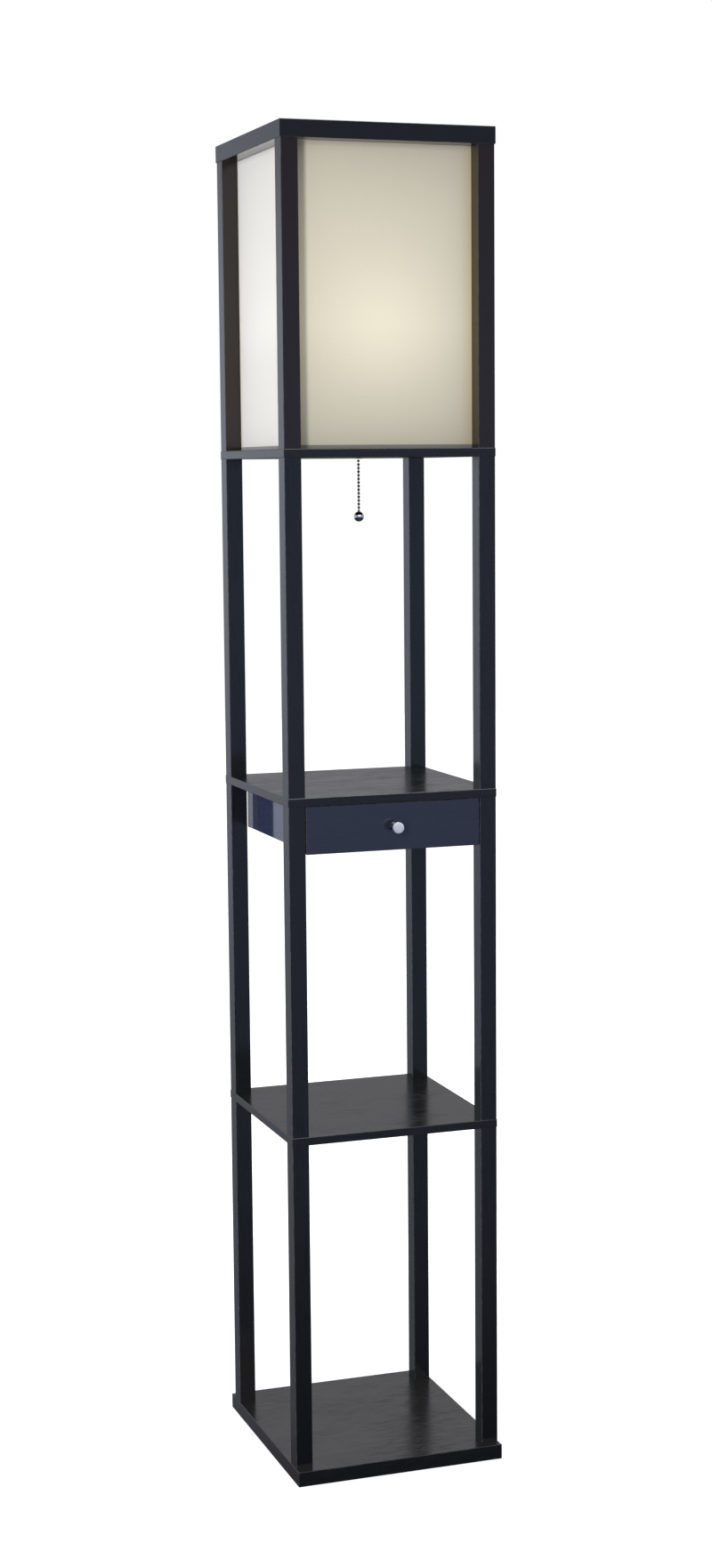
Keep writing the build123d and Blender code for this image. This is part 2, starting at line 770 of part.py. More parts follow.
shell_bore = cap_radius + thread_fit
shell_z = cap_z + cap_height - shell_overlap
with BuildPart() as lampholder_shell:
    with Locations((0, 0, shell_z)):
        add(ring(shell_bore + shell_wall, shell_bore, shell_height))
save(lampholder_shell, "lampholder_shell")

insulator_z = cap_z + cap_height
with BuildPart() as lampholder_insulator:
    with BuildSketch(Plane.XY.offset(insulator_z)):
        Circle(cap_radius)
        with PolarLocations(terminal_hole_offset, 2):
            Circle(terminal_hole_radius, mode=Mode.SUBTRACT)
    extrude(amount=insulator_height)
save(lampholder_insulator, "lampholder_insulator")

contact_z = insulator_z + insulator_height
screw_shell_bore = bulb_base_radius + bulb_base_gap
with BuildPart() as screw_shell:
    with Locations((0, 0, contact_z)):
        add(ring(screw_shell_bore + screw_shell_wall, screw_shell_bore, screw_shell_height))
save(screw_shell, "screw_shell")

with BuildPart() as centre_contact:
    with Locations((0, 0, contact_z)):
        Cylinder(
            contact_radius, contact_height, align=(Align.CENTER, Align.CENTER, Align.MIN)
        )
save(centre_contact, "centre_contact")

# ---------------------------------------------------------------- bulb
bulb_tip_z = contact_z + contact_height
bulb_shell_z = bulb_tip_z + bulb_tip_height
bulb_base_top_z = bulb_shell_z + bulb_base_height
with BuildPart() as bulb_base:
    with BuildSketch(Plane.XZ):
        with BuildLine():
            Polyline(
                (0, bulb_tip_z),
                (bulb_tip_radius, bulb_tip_z),
                (bulb_tip_radius, bulb_shell_z),
                (bulb_base_radius, bulb_shell_z + bulb_cone_height),
                (bulb_base_radius, bulb_base_top_z),
                (bulb_base_radius - bulb_base_wall, bulb_base_top_z),
                (bulb_base_radius - bulb_base_wall, bulb_shell_z + bulb_floor_height),
                (0, bulb_shell_z + bulb_floor_height),
                close=True,
            )
        make_face()
    revolve(axis=Axis.Z)
save(bulb_base, "bulb_base")


def bulb_body(shrink):
    """Make the bulb's full shape, drawn in by the given amount all over but at its open neck."""
    neck = bulb_base_radius - bulb_base_wall - thread_fit - shrink
    ball = bulb_radius - shrink
    crown_z = bulb_base_top_z + bulb_length - shrink
    centre_z = bulb_base_top_z + bulb_length - bulb_radius
    swell_z = bulb_base_top_z + bulb_neck_height
    seat_z = bulb_base_top_z - bulb_seat
    with BuildPart() as body:
        with BuildSketch(Plane.XZ):
            with BuildLine():
                neck_line = Line((neck, seat_z), (neck, swell_z))
                Spline(
                    neck_line @ 1,
                    (ball, centre_z),
                    tangents=((0, 1), (0, 1)),
                )
                RadiusArc((ball, centre_z), (0, crown_z), -ball)
                Line((0, crown_z), (0, seat_z))
                Line((0, seat_z), neck_line @ 0)
            make_face()
        revolve(axis=Axis.Z)
    return body.part


with BuildPart() as bulb_glass:
    add(bulb_body(0))
    add(bulb_body(bulb_wall), mode=Mode.SUBTRACT)
save(bulb_glass, "bulb_glass")

# ---------------------------------------------------------------- pull chain
with BuildPart() as chain_bushing:
    with Locations((chain_x, chain_y, light_floor_z)):
        add(ring(bushing_radius, bushing_bore, board_thickness))
    with Locations((chain_x, chain_y, light_floor_z - bushing_flange_thickness)):
        add(ring(bushing_flange_radius, bushing_bore, bushing_flange_thickness))
save(chain_bushing, "chain_bushing")

# The beads lie a pitch apart on one line, counted up and down from the swivel bead.
pivot_z = light_floor_z - pivot_drop
upper_bead_count = int((horn_z + horn_height - pivot_z) / bead_pitch)
upper_beads = [pivot_z + bead_pitch * step for step in range(1, upper_bead_count + 1)]
lower_beads = [pivot_z - bead_pitch * step for step in range(1, lower_bead_count + 1)]
wire_stub = bead_radius + link_stub

with BuildPart() as chain_upper:
    add(bead_chain(upper_beads, upper_beads[0] - wire_stub, upper_beads[-1]))
save(chain_upper, "chain_upper")

with BuildPart() as chain_swivel:
    with Locations((chain_x, chain_y, pivot_z)):
        Sphere(bead_radius)
save(chain_swivel, "chain_swivel")

with BuildPart() as chain_lower:
    add(bead_chain(lower_beads, lower_beads[-1], lower_beads[0] + wire_stub))
save(chain_lower, "chain_lower")

ball_centre_z = lower_beads[-1] - pull_ball_radius - ball_gap
ball_bore = bead_radius + thread_fit
with BuildPart() as pull_ball:
    with Locations((chain_x, chain_y, ball_centre_z)):
        Sphere(pull_ball_radius)
    with Locations((chain_x, chain_y, ball_centre_z + pull_ball_radius)):
        Hole(ball_bore, ball_seat_depth)
save(pull_ball, "pull_ball")

# ---------------------------------------------------------------- gland of the supply lead
with BuildPart() as lead_gland:
    with Locations((gland_x, gland_y, light_floor_z)):
        add(ring(gland_radius, gland_bore_radius, board_thickness))
    with Locations((gland_x, gland_y, light_box_z)):
        add(ring(gland_flange_radius, gland_bore_radius, gland_flange_thickness))
save(lead_gland, "lead_gland")
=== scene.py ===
import logging
import math
from collections.abc import Sequence
from dataclasses import dataclass
from enum import Enum
from functools import cached_property

import bmesh
import bpy
from mathutils import Matrix, Vector

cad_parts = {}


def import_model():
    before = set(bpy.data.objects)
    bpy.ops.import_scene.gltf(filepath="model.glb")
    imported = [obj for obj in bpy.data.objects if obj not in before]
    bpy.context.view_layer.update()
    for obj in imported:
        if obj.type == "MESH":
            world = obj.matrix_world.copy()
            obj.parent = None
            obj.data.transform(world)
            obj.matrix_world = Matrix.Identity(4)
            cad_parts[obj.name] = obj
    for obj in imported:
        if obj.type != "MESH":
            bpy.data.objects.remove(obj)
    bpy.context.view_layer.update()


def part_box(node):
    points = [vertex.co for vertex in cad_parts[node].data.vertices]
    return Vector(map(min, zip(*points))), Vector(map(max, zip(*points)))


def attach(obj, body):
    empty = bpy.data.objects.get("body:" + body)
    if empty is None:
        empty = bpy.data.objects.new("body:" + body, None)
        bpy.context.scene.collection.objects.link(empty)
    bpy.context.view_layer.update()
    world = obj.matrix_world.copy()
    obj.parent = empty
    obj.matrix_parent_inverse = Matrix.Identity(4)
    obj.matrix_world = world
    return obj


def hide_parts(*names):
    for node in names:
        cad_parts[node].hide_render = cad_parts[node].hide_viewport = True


MM = 0.001
log = logging.getLogger("shelf_lamp")

Span = tuple[float, float]
Triple = tuple[float, float, float]
Colour = Triple
Socket = bpy.types.NodeSocket
Inputs = dict[str | int, object]
Mesh = bmesh.types.BMesh
Material = bpy.types.Material

WHITE: Colour = (1.0, 1.0, 1.0)
BLACK: Colour = (0.0, 0.0, 0.0)
RISING: Span = (0.0, 1.0)
FALLING: Span = (1.0, 0.0)
USUAL_NOISE: Span = (0.3, 0.7)


class Grain(Enum):
    """The way the grain of a wooden piece runs, as the index of its axis."""

    ALONG_X = 0
    ALONG_Y = 1
    ALONG_Z = 2

    def by_axis(self, across: float, along: float) -> list[float]:
        """List a scale by axis, with one value across the grain and one along it."""
        return [along if axis == self.value else across for axis in range(3)]


class Turning(Enum):
    """The axis that a turned piece spins about, as a unit vector."""

    UPRIGHT = (0.0, 0.0, 1.0)
    FORWARD = (0.0, -1.0, 0.0)


# ---------------- node graphs
def opaque(colour: object) -> object:
    """Give a plain colour its fourth number, and pass a socket on unchanged."""
    return (*colour, 1.0) if isinstance(colour, tuple) and len(colour) == 3 else colour


class Graph:
    """A node tree that is filled with short calls."""

    def __init__(self, tree: bpy.types.NodeTree) -> None:
        """Start from an empty tree, of a material or of the world."""
        self.tree = tree
        self.tree.nodes.clear()

    @cached_property
    def here(self) -> Socket:
        """The piece's own coordinates, which are metres in the lamp's frame."""
        return self.add("TexCoord").outputs["Object"]

    @cached_property
    def part(self) -> Sequence[Socket]:
        """The same coordinates, as three numbers."""
        return self.split(self.here)

    def add(self, kind: str, inputs: Inputs | None = None, settings: dict | None = None) -> bpy.types.Node:
        """Add one node.

        Args:
            kind: the node's type name, without ShaderNode in front.
            inputs: plain values or other nodes' outputs, by input name or index.
            settings: attributes of the node.

        Returns:
            The new node.
        """
        node = self.tree.nodes.new(f"ShaderNode{kind}")
        for key, value in (settings or {}).items():
            setattr(node, key, value)
        for key, value in (inputs or {}).items():
            if isinstance(value, bpy.types.NodeSocket):
                self.tree.links.new(value, node.inputs[key])
            else:
                node.inputs[key].default_value = value
        return node

    def end(self, kind: str, shader: bpy.types.Node) -> None:
        """Join the last shader to a new output node of the given kind."""
        self.tree.links.new(shader.outputs[0], self.add(kind).inputs["Surface"])

    def light(self, kind: str, colour: object, strength: object) -> Socket:
        """Add a shader of the given kind that gives off light."""
        return self.add(kind, {"Color": opaque(colour), "Strength": strength}).outputs[0]

    def math(self, operation: str, first: object, second: object = 0.0) -> Socket:
        """Work out one sum of two numbers or sockets."""
        return self.add("Math", {0: first, 1: second}, {"operation": operation}).outputs[0]

    def product(self, first: object, *others: object) -> Socket:
        """Multiply numbers or sockets."""
        for other in others:
            first = self.math("MULTIPLY", first, other)
        return first

    def wave(self, along: Socket, pitch: float) -> Socket:
        """Draw a wave that repeats at a pitch, in metres."""
        return self.math("SINE", self.product(along, math.tau / pitch))

    def vector(self, operation: str, first: object, second: object = (0.0, 0.0, 0.0)) -> bpy.types.Node:
        """Work out one sum of two vectors or sockets, and give its node."""
        return self.add("VectorMath", {0: first, 1: second}, {"operation": operation})

    def times(self, first: object, second: object) -> Socket:
        """Multiply two colours or vectors, part by part."""
        return self.vector("MULTIPLY", first, second).outputs[0]

    def split(self, value: Socket) -> Sequence[Socket]:
        """Take a vector apart into its three numbers."""
        return self.add("SeparateXYZ", {0: value}).outputs

    def blend(self, share: object, first: object, second: object) -> Socket:
        """Mix two colours, by the share of the second."""
        inputs = {0: share, 6: opaque(first), 7: opaque(second)}
        return self.add("Mix", inputs, {"data_type": "RGBA", "clamp_factor": True}).outputs[2]

    def remap(self, value: Socket, old: Span, new: Span = RISING) -> Socket:
        """Map a range of values to another, held at both ends."""
        inputs = {"Value": value, 1: old[0], 2: old[1], 3: new[0], 4: new[1]}
        return self.add("MapRange", inputs, {"clamp": True}).outputs[0]

    def noise(self, where: Socket, scale: float, detail: float = 4.0, twist: float = 0.0) -> Socket:
        """Add a noise pattern, whose values lie around 0.5."""
        inputs = {"Vector": where, "Scale": scale, "Detail": detail, "Distortion": twist}
        return self.add("TexNoise", inputs).outputs[0]

    def stretched(self, where: Socket, scale: Sequence[float], shift: Sequence[float] = (0, 0, 0)) -> Socket:
        """Scale coordinates by axis, and shift them afterwards."""
        inputs = {"Vector": where, "Scale": tuple(scale), "Location": tuple(shift)}
        return self.add("Mapping", inputs).outputs[0]

    def wandering(self, where: Socket, slow_scale: Sequence[float], reach: float) -> Socket:
        """Bend coordinates by a slow noise, so that lines drawn on them wander.

        Args:
            where: the coordinates.
            slow_scale: how fine the bending is, by axis.
            reach: how far a line may wander, in metres.

        Returns:
            The bent coordinates.
        """
        inputs = {"Vector": self.stretched(where, slow_scale), "Scale": 1.0, "Detail": 2.0}
        slow = self.add("TexNoise", inputs).outputs["Color"]
        offset = self.vector("SUBTRACT", slow, (0.5, 0.5, 0.5)).outputs[0]
        return self.vector("ADD", where, self.times(offset, (reach, reach, reach))).outputs[0]

    def ramp(self, value: Socket, stops: Sequence[tuple[float, Colour]]) -> Socket:
        """Turn a value from 0 to 1 into a colour.

        Args:
            value: the value.
            stops: where each colour sits.

        Returns:
            The colour's socket.
        """
        node = self.add("ValToRGB", {0: value})
        elements = node.color_ramp.elements
        while len(elements) < len(stops):
            elements.new(0.5)
        for element, (place, colour) in zip(elements, stops):
            element.position = place
            element.color = opaque(colour)
        return node.outputs[0]

    def true_normal(self) -> Socket:
        """Give the way that the surface faces, without its relief."""
        return self.add("NewGeometry").outputs["True Normal"]

    def facing(self) -> Sequence[Socket]:
        """Split how squarely the surface faces along each axis, whichever way."""
        return self.split(self.vector("ABSOLUTE", self.true_normal()).outputs[0])

    def edge_mask(self) -> Socket:
        """Find a square piece's broken edges, where the surface faces between two axes.

        Returns:
            A value that is 1 on a chamfer and 0 on a flat face.
        """
        facing = self.facing()
        largest = self.math("MAXIMUM", facing[0], facing[1])
        largest = self.math("MAXIMUM", largest, facing[2])
        return self.remap(largest, (0.98, 0.80))

    def bump(self, height: Socket, strength: float, distance: float, under: Socket | None = None) -> Socket:
        """Turn a height into a surface direction.

        Args:
            height: the height's socket.
            strength: the share of the effect.
            distance: how high a height of 1 stands, in metres.
            under: another bump that this one lies on.

        Returns:
            The new surface direction.
        """
        inputs = {"Height": height, "Strength": strength, "Distance": distance}
        if under is not None:
            inputs["Normal"] = under
        return self.add("Bump", inputs).outputs[0]


def new_material(name: str) -> tuple[Material, Graph]:
    """Make an empty node material, and give it with its graph."""
    material = bpy.data.materials.new(name)
    material.use_nodes = True
    return material, Graph(material.node_tree)


# ---------------- finishes
@dataclass(frozen=True)
class Finish:
    """What a piece is covered with, made into a material of one Principled shader."""

    name: str

    def draw(self, g: Graph) -> Inputs:
        """Draw the finish's nodes.

        Args:
            g: the material's graph.

        Returns:
            The shader's inputs, by name.
        """
        raise NotImplementedError

    def build(self) -> Material:
        """Make the material.

        Returns:
            The finished material.
        """
        material, g = new_material(self.name)
        shader = g.add("BsdfPrincipled", self.draw(g))
        g.end("OutputMaterial", shader)
        return material


@dataclass(frozen=True)
class BlackWood(Finish):
    """Wood stained black under a satin coat, with fine dark grain along one axis."""

    grain: Grain
    tone: Colour = (0.0050, 0.0048, 0.0052)
    streak_tone: Colour = (0.0022, 0.0021, 0.0022)
    # paler tone of the chamfers: partly wear, partly a painted highlight along the edges
    worn_and_highlit_tone: Colour = (0.050, 0.051, 0.055)
    smooth: float = 0.11
    rough: float = 0.20
    relief_height: float = 0.009 * MM
    wander: float = 10.0 * MM
    bend_scale: Span = (22.0, 7.0)
    line_scale: Span = (560.0, 34.0)
    patch_scale: Span = (26.0, 9.0)
    rub_scale: float = 130.0
    ior: float = 1.5
    # tint of the gloss on inward faces: a painted warm reflection of the lit shade
    painted_inner_glow_tint: Colour | None = None

    def draw(self, g: Graph) -> Inputs:
        """Draw wandering dark streaks that are duller than the coat, and paint the edges pale, as wear and as
        a painted highlight.

        Args:
            g: the material's graph.

        Returns:
            The shader's inputs, by name.
        """
        bent = g.wandering(g.here, self.grain.by_axis(*self.bend_scale), self.wander)
        lines = g.noise(g.stretched(bent, self.grain.by_axis(*self.line_scale)), 1.0, 3.0, 0.4)
        rub = g.noise(g.here, self.rub_scale, 4.0)
        patches = g.noise(g.stretched(g.here, self.grain.by_axis(*self.patch_scale)), 1.0, 2.0)
        off_end_grain = g.remap(g.facing()[self.grain.value], (0.6, 0.9), (1.0, 0.15))
        in_patches = g.remap(patches, (0.38, 0.58), (0.35, 1.0))
        streaks = g.product(g.remap(lines, (0.40, 0.68)), off_end_grain, in_patches)
        # chamfers painted paler: wear together with a painted highlight where the edges catch the light
        worn_and_highlit = g.product(g.edge_mask(), g.remap(rub, (0.42, 0.60), (0.45, 0.9)))
        inputs = {
            "Base Color": g.blend(worn_and_highlit, g.blend(streaks, self.tone, self.streak_tone), self.worn_and_highlit_tone),
            "Roughness": g.remap(streaks, RISING, (self.smooth, self.rough)),
            "IOR": self.ior,
            "Normal": g.bump(streaks, 0.5, self.relief_height),
        }
        # painted warm reflection of the lit shade on the faces turned towards it
        if self.painted_inner_glow_tint is not None:
            inputs["Specular Tint"] = g.blend(self.turned_inwards(g), WHITE, self.painted_inner_glow_tint)
        return inputs

    def turned_inwards(self, g: Graph) -> Socket:
        """Find the faces that are turned sideways towards the lamp's middle, whose gloss gets a painted warm
        glow from the shade.

        Args:
            g: the material's graph.

        Returns:
            A value that is 1 on those faces and 0 elsewhere.
        """
        from_axis = g.vector("NORMALIZE", g.times(g.here, (1.0, 0.0, 0.0))).outputs[0]
        outward = g.vector("DOT_PRODUCT", g.true_normal(), from_axis).outputs[1]
        return g.remap(outward, (-0.4, -0.2), FALLING)


@dataclass(frozen=True)
class RawWood(Finish):
    """Plain unpolished wood or board inside the drawer and its joints."""

    grain: Grain
    tone: Colour
    dark_tone: Colour
    roughness: float = 0.6
    line_scale: Span = (320.0, 9.0)
    fleck_scale: float = 900.0

    def draw(self, g: Graph) -> Inputs:
        """Draw straight darker lines and a fine fleck.

        Args:
            g: the material's graph.

        Returns:
            The shader's inputs, by name.
        """
        lines = g.noise(g.stretched(g.here, self.grain.by_axis(*self.line_scale)), 1.0, 4.0, 0.4)
        fleck = g.noise(g.here, self.fleck_scale, 2.0)
        return {
            "Base Color": g.blend(g.remap(lines, (0.38, 0.66)), self.tone, self.dark_tone),
            "Roughness": g.remap(fleck, USUAL_NOISE, (self.roughness - 0.08, self.roughness + 0.1)),
            "Normal": g.bump(lines, 0.4, 0.05 * MM, g.bump(fleck, 0.3, 0.02 * MM)),
        }


@dataclass(frozen=True)
class PlatedMetal(Finish):
    """Metal with a plated or drawn surface, fine scratches and a little tarnish."""

    tone: Colour
    tarnish: Colour
    roughness: float
    spread: float = 0.06
    cloud_scale: float = 240.0
    scratch_scale: Triple = (2600.0, 2600.0, 300.0)
    scratch_height: float = 0.004 * MM

    def draw(self, g: Graph) -> Inputs:
        """Draw clouds of tarnish and fine upright scratches.

        Args:
            g: the material's graph.

        Returns:
            The shader's inputs, by name.
        """
        cloud = g.noise(g.here, self.cloud_scale, 3.0)
        scratch = g.noise(g.stretched(g.here, self.scratch_scale), 1.0, 2.0)
        reach = (self.roughness - self.spread, self.roughness + self.spread)
        return {
            "Base Color": g.blend(g.remap(cloud, (0.42, 0.68), (0.0, 0.6)), self.tone, self.tarnish),
            "Metallic": 1.0,
            "Roughness": g.remap(scratch, USUAL_NOISE, reach),
            "Normal": g.bump(scratch, 0.4, self.scratch_height),
        }


@dataclass(frozen=True)
class TurnedNickel(Finish):
    """Satin nickel with the rings of a lathe tool round an axis along Y, and a glossy neck darkened by
    painted shade.
    """

    axis_x: float
    axis_z: float
    head_y: float
    tone: Colour = (0.93, 0.94, 0.96)
    dull_tone: Colour = (0.80, 0.81, 0.84)
    # dark tone of the neck behind the head: painted shade and dark reflection
    neck_painted_shade_tone: Colour = (0.13, 0.135, 0.14)
    roughness: float = 0.62
    neck_roughness: float = 0.26
    soft_step: float = 0.3 * MM
    ring_pitch: float = 0.2856 * MM
    grit_scale: float = 1500.0

    def draw(self, g: Graph) -> Inputs:
        """Draw fine rings round the knob's axis, and paint shade on what lies behind its head.

        Args:
            g: the material's graph.

        Returns:
            The shader's inputs, by name.
        """
        from_axis = g.stretched(g.here, (1.0, 0.0, 1.0), (-self.axis_x, 0.0, -self.axis_z))
        radius = g.vector("LENGTH", from_axis).outputs[1]
        # the neck behind the head is darkened as painted shade
        neck = g.remap(g.part[1], (self.head_y - self.soft_step, self.head_y + self.soft_step))
        rings = g.wave(radius, self.ring_pitch)
        grit = g.noise(g.here, self.grit_scale, 3.0)
        tone = g.blend(g.remap(grit, (0.4, 0.68), (0.0, 0.7)), self.tone, self.dull_tone)
        rough = g.remap(neck, RISING, (self.roughness, self.neck_roughness))
        return {
            "Base Color": g.blend(neck, tone, self.neck_painted_shade_tone),
            "Metallic": 1.0,
            "Roughness": g.math("ADD", rough, g.remap(grit, USUAL_NOISE, (-0.07, 0.07))),
            "Normal": g.bump(g.product(rings, grit), 0.35, 0.005 * MM),
        }


@dataclass(frozen=True)
class MouldedPlastic(Finish):
    """Moulded plastic with a fine pebbled skin."""

    tone: Colour
    lighter_tone: Colour
    roughness: float
    pebble_scale: float = 2400.0
    cloud_scale: float = 90.0

    def draw(self, g: Graph) -> Inputs:
        """Draw pale clouds under fine pebbles.

        Args:
            g: the material's graph.

        Returns:
            The shader's inputs, by name.
        """
        pebble = g.noise(g.here, self.pebble_scale, 2.0)
        cloud = g.noise(g.here, self.cloud_scale, 3.0)
        return {
            "Base Color": g.blend(g.remap(cloud, (0.4, 0.65)), self.tone, self.lighter_tone),
            "Roughness": g.remap(pebble, USUAL_NOISE, (self.roughness - 0.06, self.roughness + 0.08)),
            "Normal": g.bump(pebble, 0.35, 0.01 * MM),
        }


@dataclass(frozen=True)
class ShadeCloth(Finish):
    """Off-white plain-weave cloth on a clear film, lit from inside by the bulb, with painted shade towards
    its top and bottom and painted warm light at its corners.
    """

    bulb_centre: Vector
    bulb_distance: float
    tone: Colour = (0.60, 0.560, 0.455)
    thread_tone: Colour = (0.588, 0.548, 0.445)
    # warmer tone at the upright corners: painted warm light
    corner_painted_warmth: Colour = (1.0, 0.93, 0.78)
    edge_start: float = 0.88
    glow_tone: Colour = (0.96, 0.95, 0.72)
    glow: float = 0.24
    left_glow_share: float = 0.26
    left_margin: Span = (1.0 * MM, 2.0 * MM)
    # how far painted shade dims the cloth below and above the bulb, and on the left panel
    low_share: float = 0.72
    low_reach: float = 155.0 * MM
    low_left_share: float = 0.92
    top_share: float = 0.93
    top_reach: float = 190.0 * MM
    thread_pitch: float = 0.85 * MM
    thread_height: float = 0.06 * MM
    thread_span: Span = (0.8, 1.35)
    slub_scale: Span = (900.0, 14.0)
    roughness: float = 0.5

    def draw(self, g: Graph) -> Inputs:
        """Draw the weave, the bulb's glow behind it, and the painted shade and warmth on the cloth.

        Args:
            g: the material's graph.

        Returns:
            The shader's inputs, by name.
        """
        thread = self.thread(g)
        # painted warm light towards the upright corners, on tone and glow alike
        tint = self.painted_corner_warmth(g)
        tone = g.blend(g.remap(thread, self.thread_span), self.tone, self.thread_tone)
        # painted shade towards top and bottom, and painted warm light at the corners
        tone = g.times(g.times(tone, self.painted_rim_shade(g)), tint)
        away = g.vector("DISTANCE", g.here, tuple(self.bulb_centre)).outputs[1]
        falloff = g.math("POWER", g.math("DIVIDE", self.bulb_distance, away), 3.0)
        texture = g.remap(thread, self.thread_span, (1.008, 0.99))
        left_share = self.off_left_panel(g, (self.left_glow_share, 1.0))
        return {
            "Base Color": tone,
            "Roughness": self.roughness,
            "Sheen Weight": 0.45,
            "Sheen Roughness": 0.5,
            "Emission Color": g.times(self.glow_tone, tint),
            "Emission Strength": g.product(falloff, self.glow, texture, left_share),
            "Normal": g.bump(thread, 0.5, self.thread_height),
        }

    def thread(self, g: Graph) -> Socket:
        """Draw the threads, which cross at one pitch and thicken here and there.

        Args:
            g: the material's graph.

        Returns:
            The height of the threads, around 1.
        """
        warp = g.wave(g.math("ADD", g.part[0], g.part[1]), self.thread_pitch)
        weft = g.wave(g.part[2], self.thread_pitch)
        fine, slow = self.slub_scale
        slub_up = g.noise(g.stretched(g.here, (fine, fine, slow)), 1.0, 3.0)
        slub_across = g.noise(g.stretched(g.here, (slow, slow, fine)), 1.0, 3.0)
        weave = g.product(warp, weft, 0.25)
        return g.math("ADD", weave, g.math("ADD", slub_up, slub_across))

    def off_left_panel(self, g: Graph, levels: Span) -> Socket:
        """Give the first level on the shade's left panel, and the second everywhere else."""
        start, end = (margin - self.bulb_distance for margin in self.left_margin)
        return g.remap(g.part[0], (start, end), levels)

    def painted_rim_shade(self, g: Graph) -> Socket:
        """Paint shade on the cloth away from the bulb's height, less on the left panel.

        Args:
            g: the material's graph.

        Returns:
            The share of the cloth's tone, as a grey.
        """
        bulb_z = self.bulb_centre.z
        below = g.remap(g.part[2], (bulb_z - self.low_reach, bulb_z), (self.low_share, 1.0))
        above = g.remap(g.part[2], (bulb_z, bulb_z + self.top_reach), (1.0, self.top_share))
        on_left = self.off_left_panel(g, (self.low_left_share, 0.0))
        share = g.math("MAXIMUM", g.product(below, above), on_left)
        return g.add("CombineXYZ", {0: share, 1: share, 2: share}).outputs[0]

    def painted_corner_warmth(self, g: Graph) -> Socket:
        """Paint warm light on the cloth towards its upright corners.

        Args:
            g: the material's graph.

        Returns:
            The tint's socket.
        """
        sides = g.split(g.vector("ABSOLUTE", g.here).outputs[0])
        rim = g.math("MINIMUM", sides[0], sides[1])
        warm = g.remap(rim, (self.bulb_distance * self.edge_start, self.bulb_distance))
        return g.blend(warm, WHITE, self.corner_painted_warmth)


@dataclass(frozen=True)
class WovenTape(Finish):
    """Woven tape with ribs across it."""

    tone: Colour
    rib_tone: Colour
    rib_pitch: float = 0.7 * MM
    fuzz_scale: float = 1800.0

    def draw(self, g: Graph) -> Inputs:
        """Draw upright ribs under a short fuzz.

        Args:
            g: the material's graph.

        Returns:
            The shader's inputs, by name.
        """
        rib = g.wave(g.math("ADD", g.part[0], g.part[1]), self.rib_pitch)
        fuzz = g.noise(g.here, self.fuzz_scale, 3.0)
        height = g.math("ADD", g.product(rib, 0.3), fuzz)
        return {
            "Base Color": g.blend(g.remap(height, (0.2, 0.8)), self.rib_tone, self.tone),
            "Roughness": g.remap(fuzz, USUAL_NOISE, (0.75, 0.95)),
            "Sheen Weight": 0.2,
            "Normal": g.bump(height, 0.6, 0.05 * MM),
        }


@dataclass(frozen=True)
class LitGlass(Finish):
    """The frosted glass of the lit bulb, a little dimmer near its neck and towards its outline."""

    neck_z: float
    crown_z: float
    tone: Colour = (0.85, 0.84, 0.80)
    frost_tone: Colour = (0.78, 0.77, 0.74)
    glow_tone: Colour = (1.0, 0.90, 0.70)
    neck_glow: float = 0.42
    crown_glow: float = 0.72
    edge_share: float = 0.62
    frost_scale: float = 1400.0

    def draw(self, g: Graph) -> Inputs:
        """Draw the frost and the glow.

        Args:
            g: the material's graph.

        Returns:
            The shader's inputs, by name.
        """
        frost = g.noise(g.here, self.frost_scale, 3.0)
        lift = g.remap(g.part[2], (self.neck_z, self.crown_z), (self.neck_glow, self.crown_glow))
        texture = g.remap(frost, USUAL_NOISE, (0.96, 1.03))
        turned_away = g.add("LayerWeight", {"Blend": 0.5}).outputs["Facing"]
        to_edge = g.remap(turned_away, (0.1, 1.0), (1.0, self.edge_share))
        return {
            "Base Color": g.blend(frost, self.tone, self.frost_tone),
            "Roughness": g.remap(frost, USUAL_NOISE, (0.25, 0.4)),
            "Emission Color": opaque(self.glow_tone),
            "Emission Strength": g.product(lift, texture, to_edge),
            "Normal": g.bump(frost, 0.3, 0.01 * MM),
        }


# ---------------- mesh work
@dataclass
class Bench:
    """Where finished meshes become named pieces that ride on the lamp's bodies."""

    crease: float = math.radians(35.0)
    pieces: int = 0

    def dress(self, material: Material, *nodes: str) -> None:
        """Cover CAD nodes with a material.

        Args:
            material: the material.
            nodes: the nodes' names.
        """
        for node in nodes:
            slots = bpy.data.objects[node].data.materials
            slots.clear()
            slots.append(material)
            log.info("dressed %s with %s", node, material.name)

    def seat(
        self, mesh: Mesh, name: str, body: str, material: Material, stands_for: str
    ) -> bpy.types.Object:
        """Make a piece of a finished mesh, and free the mesh.

        Args:
            mesh: the finished mesh, in the lamp's frame.
            name: the piece's name.
            body: the body that it rides on.
            material: what it is covered with.
            stands_for: the CAD node that it replaces.

        Returns:
            The new object.
        """
        data = bpy.data.meshes.new(name)
        mesh.to_mesh(data)
        mesh.free()
        data.shade_smooth()
        data.set_sharp_from_angle(angle=self.crease)
        data.materials.append(material)
        piece = bpy.data.objects.new(name, data)
        bpy.context.scene.collection.objects.link(piece)
        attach(piece, body)
        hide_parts(stands_for)
        self.pieces += 1
        log.info("built %s, %d faces, on %s", name, len(data.polygons), body)
        return piece


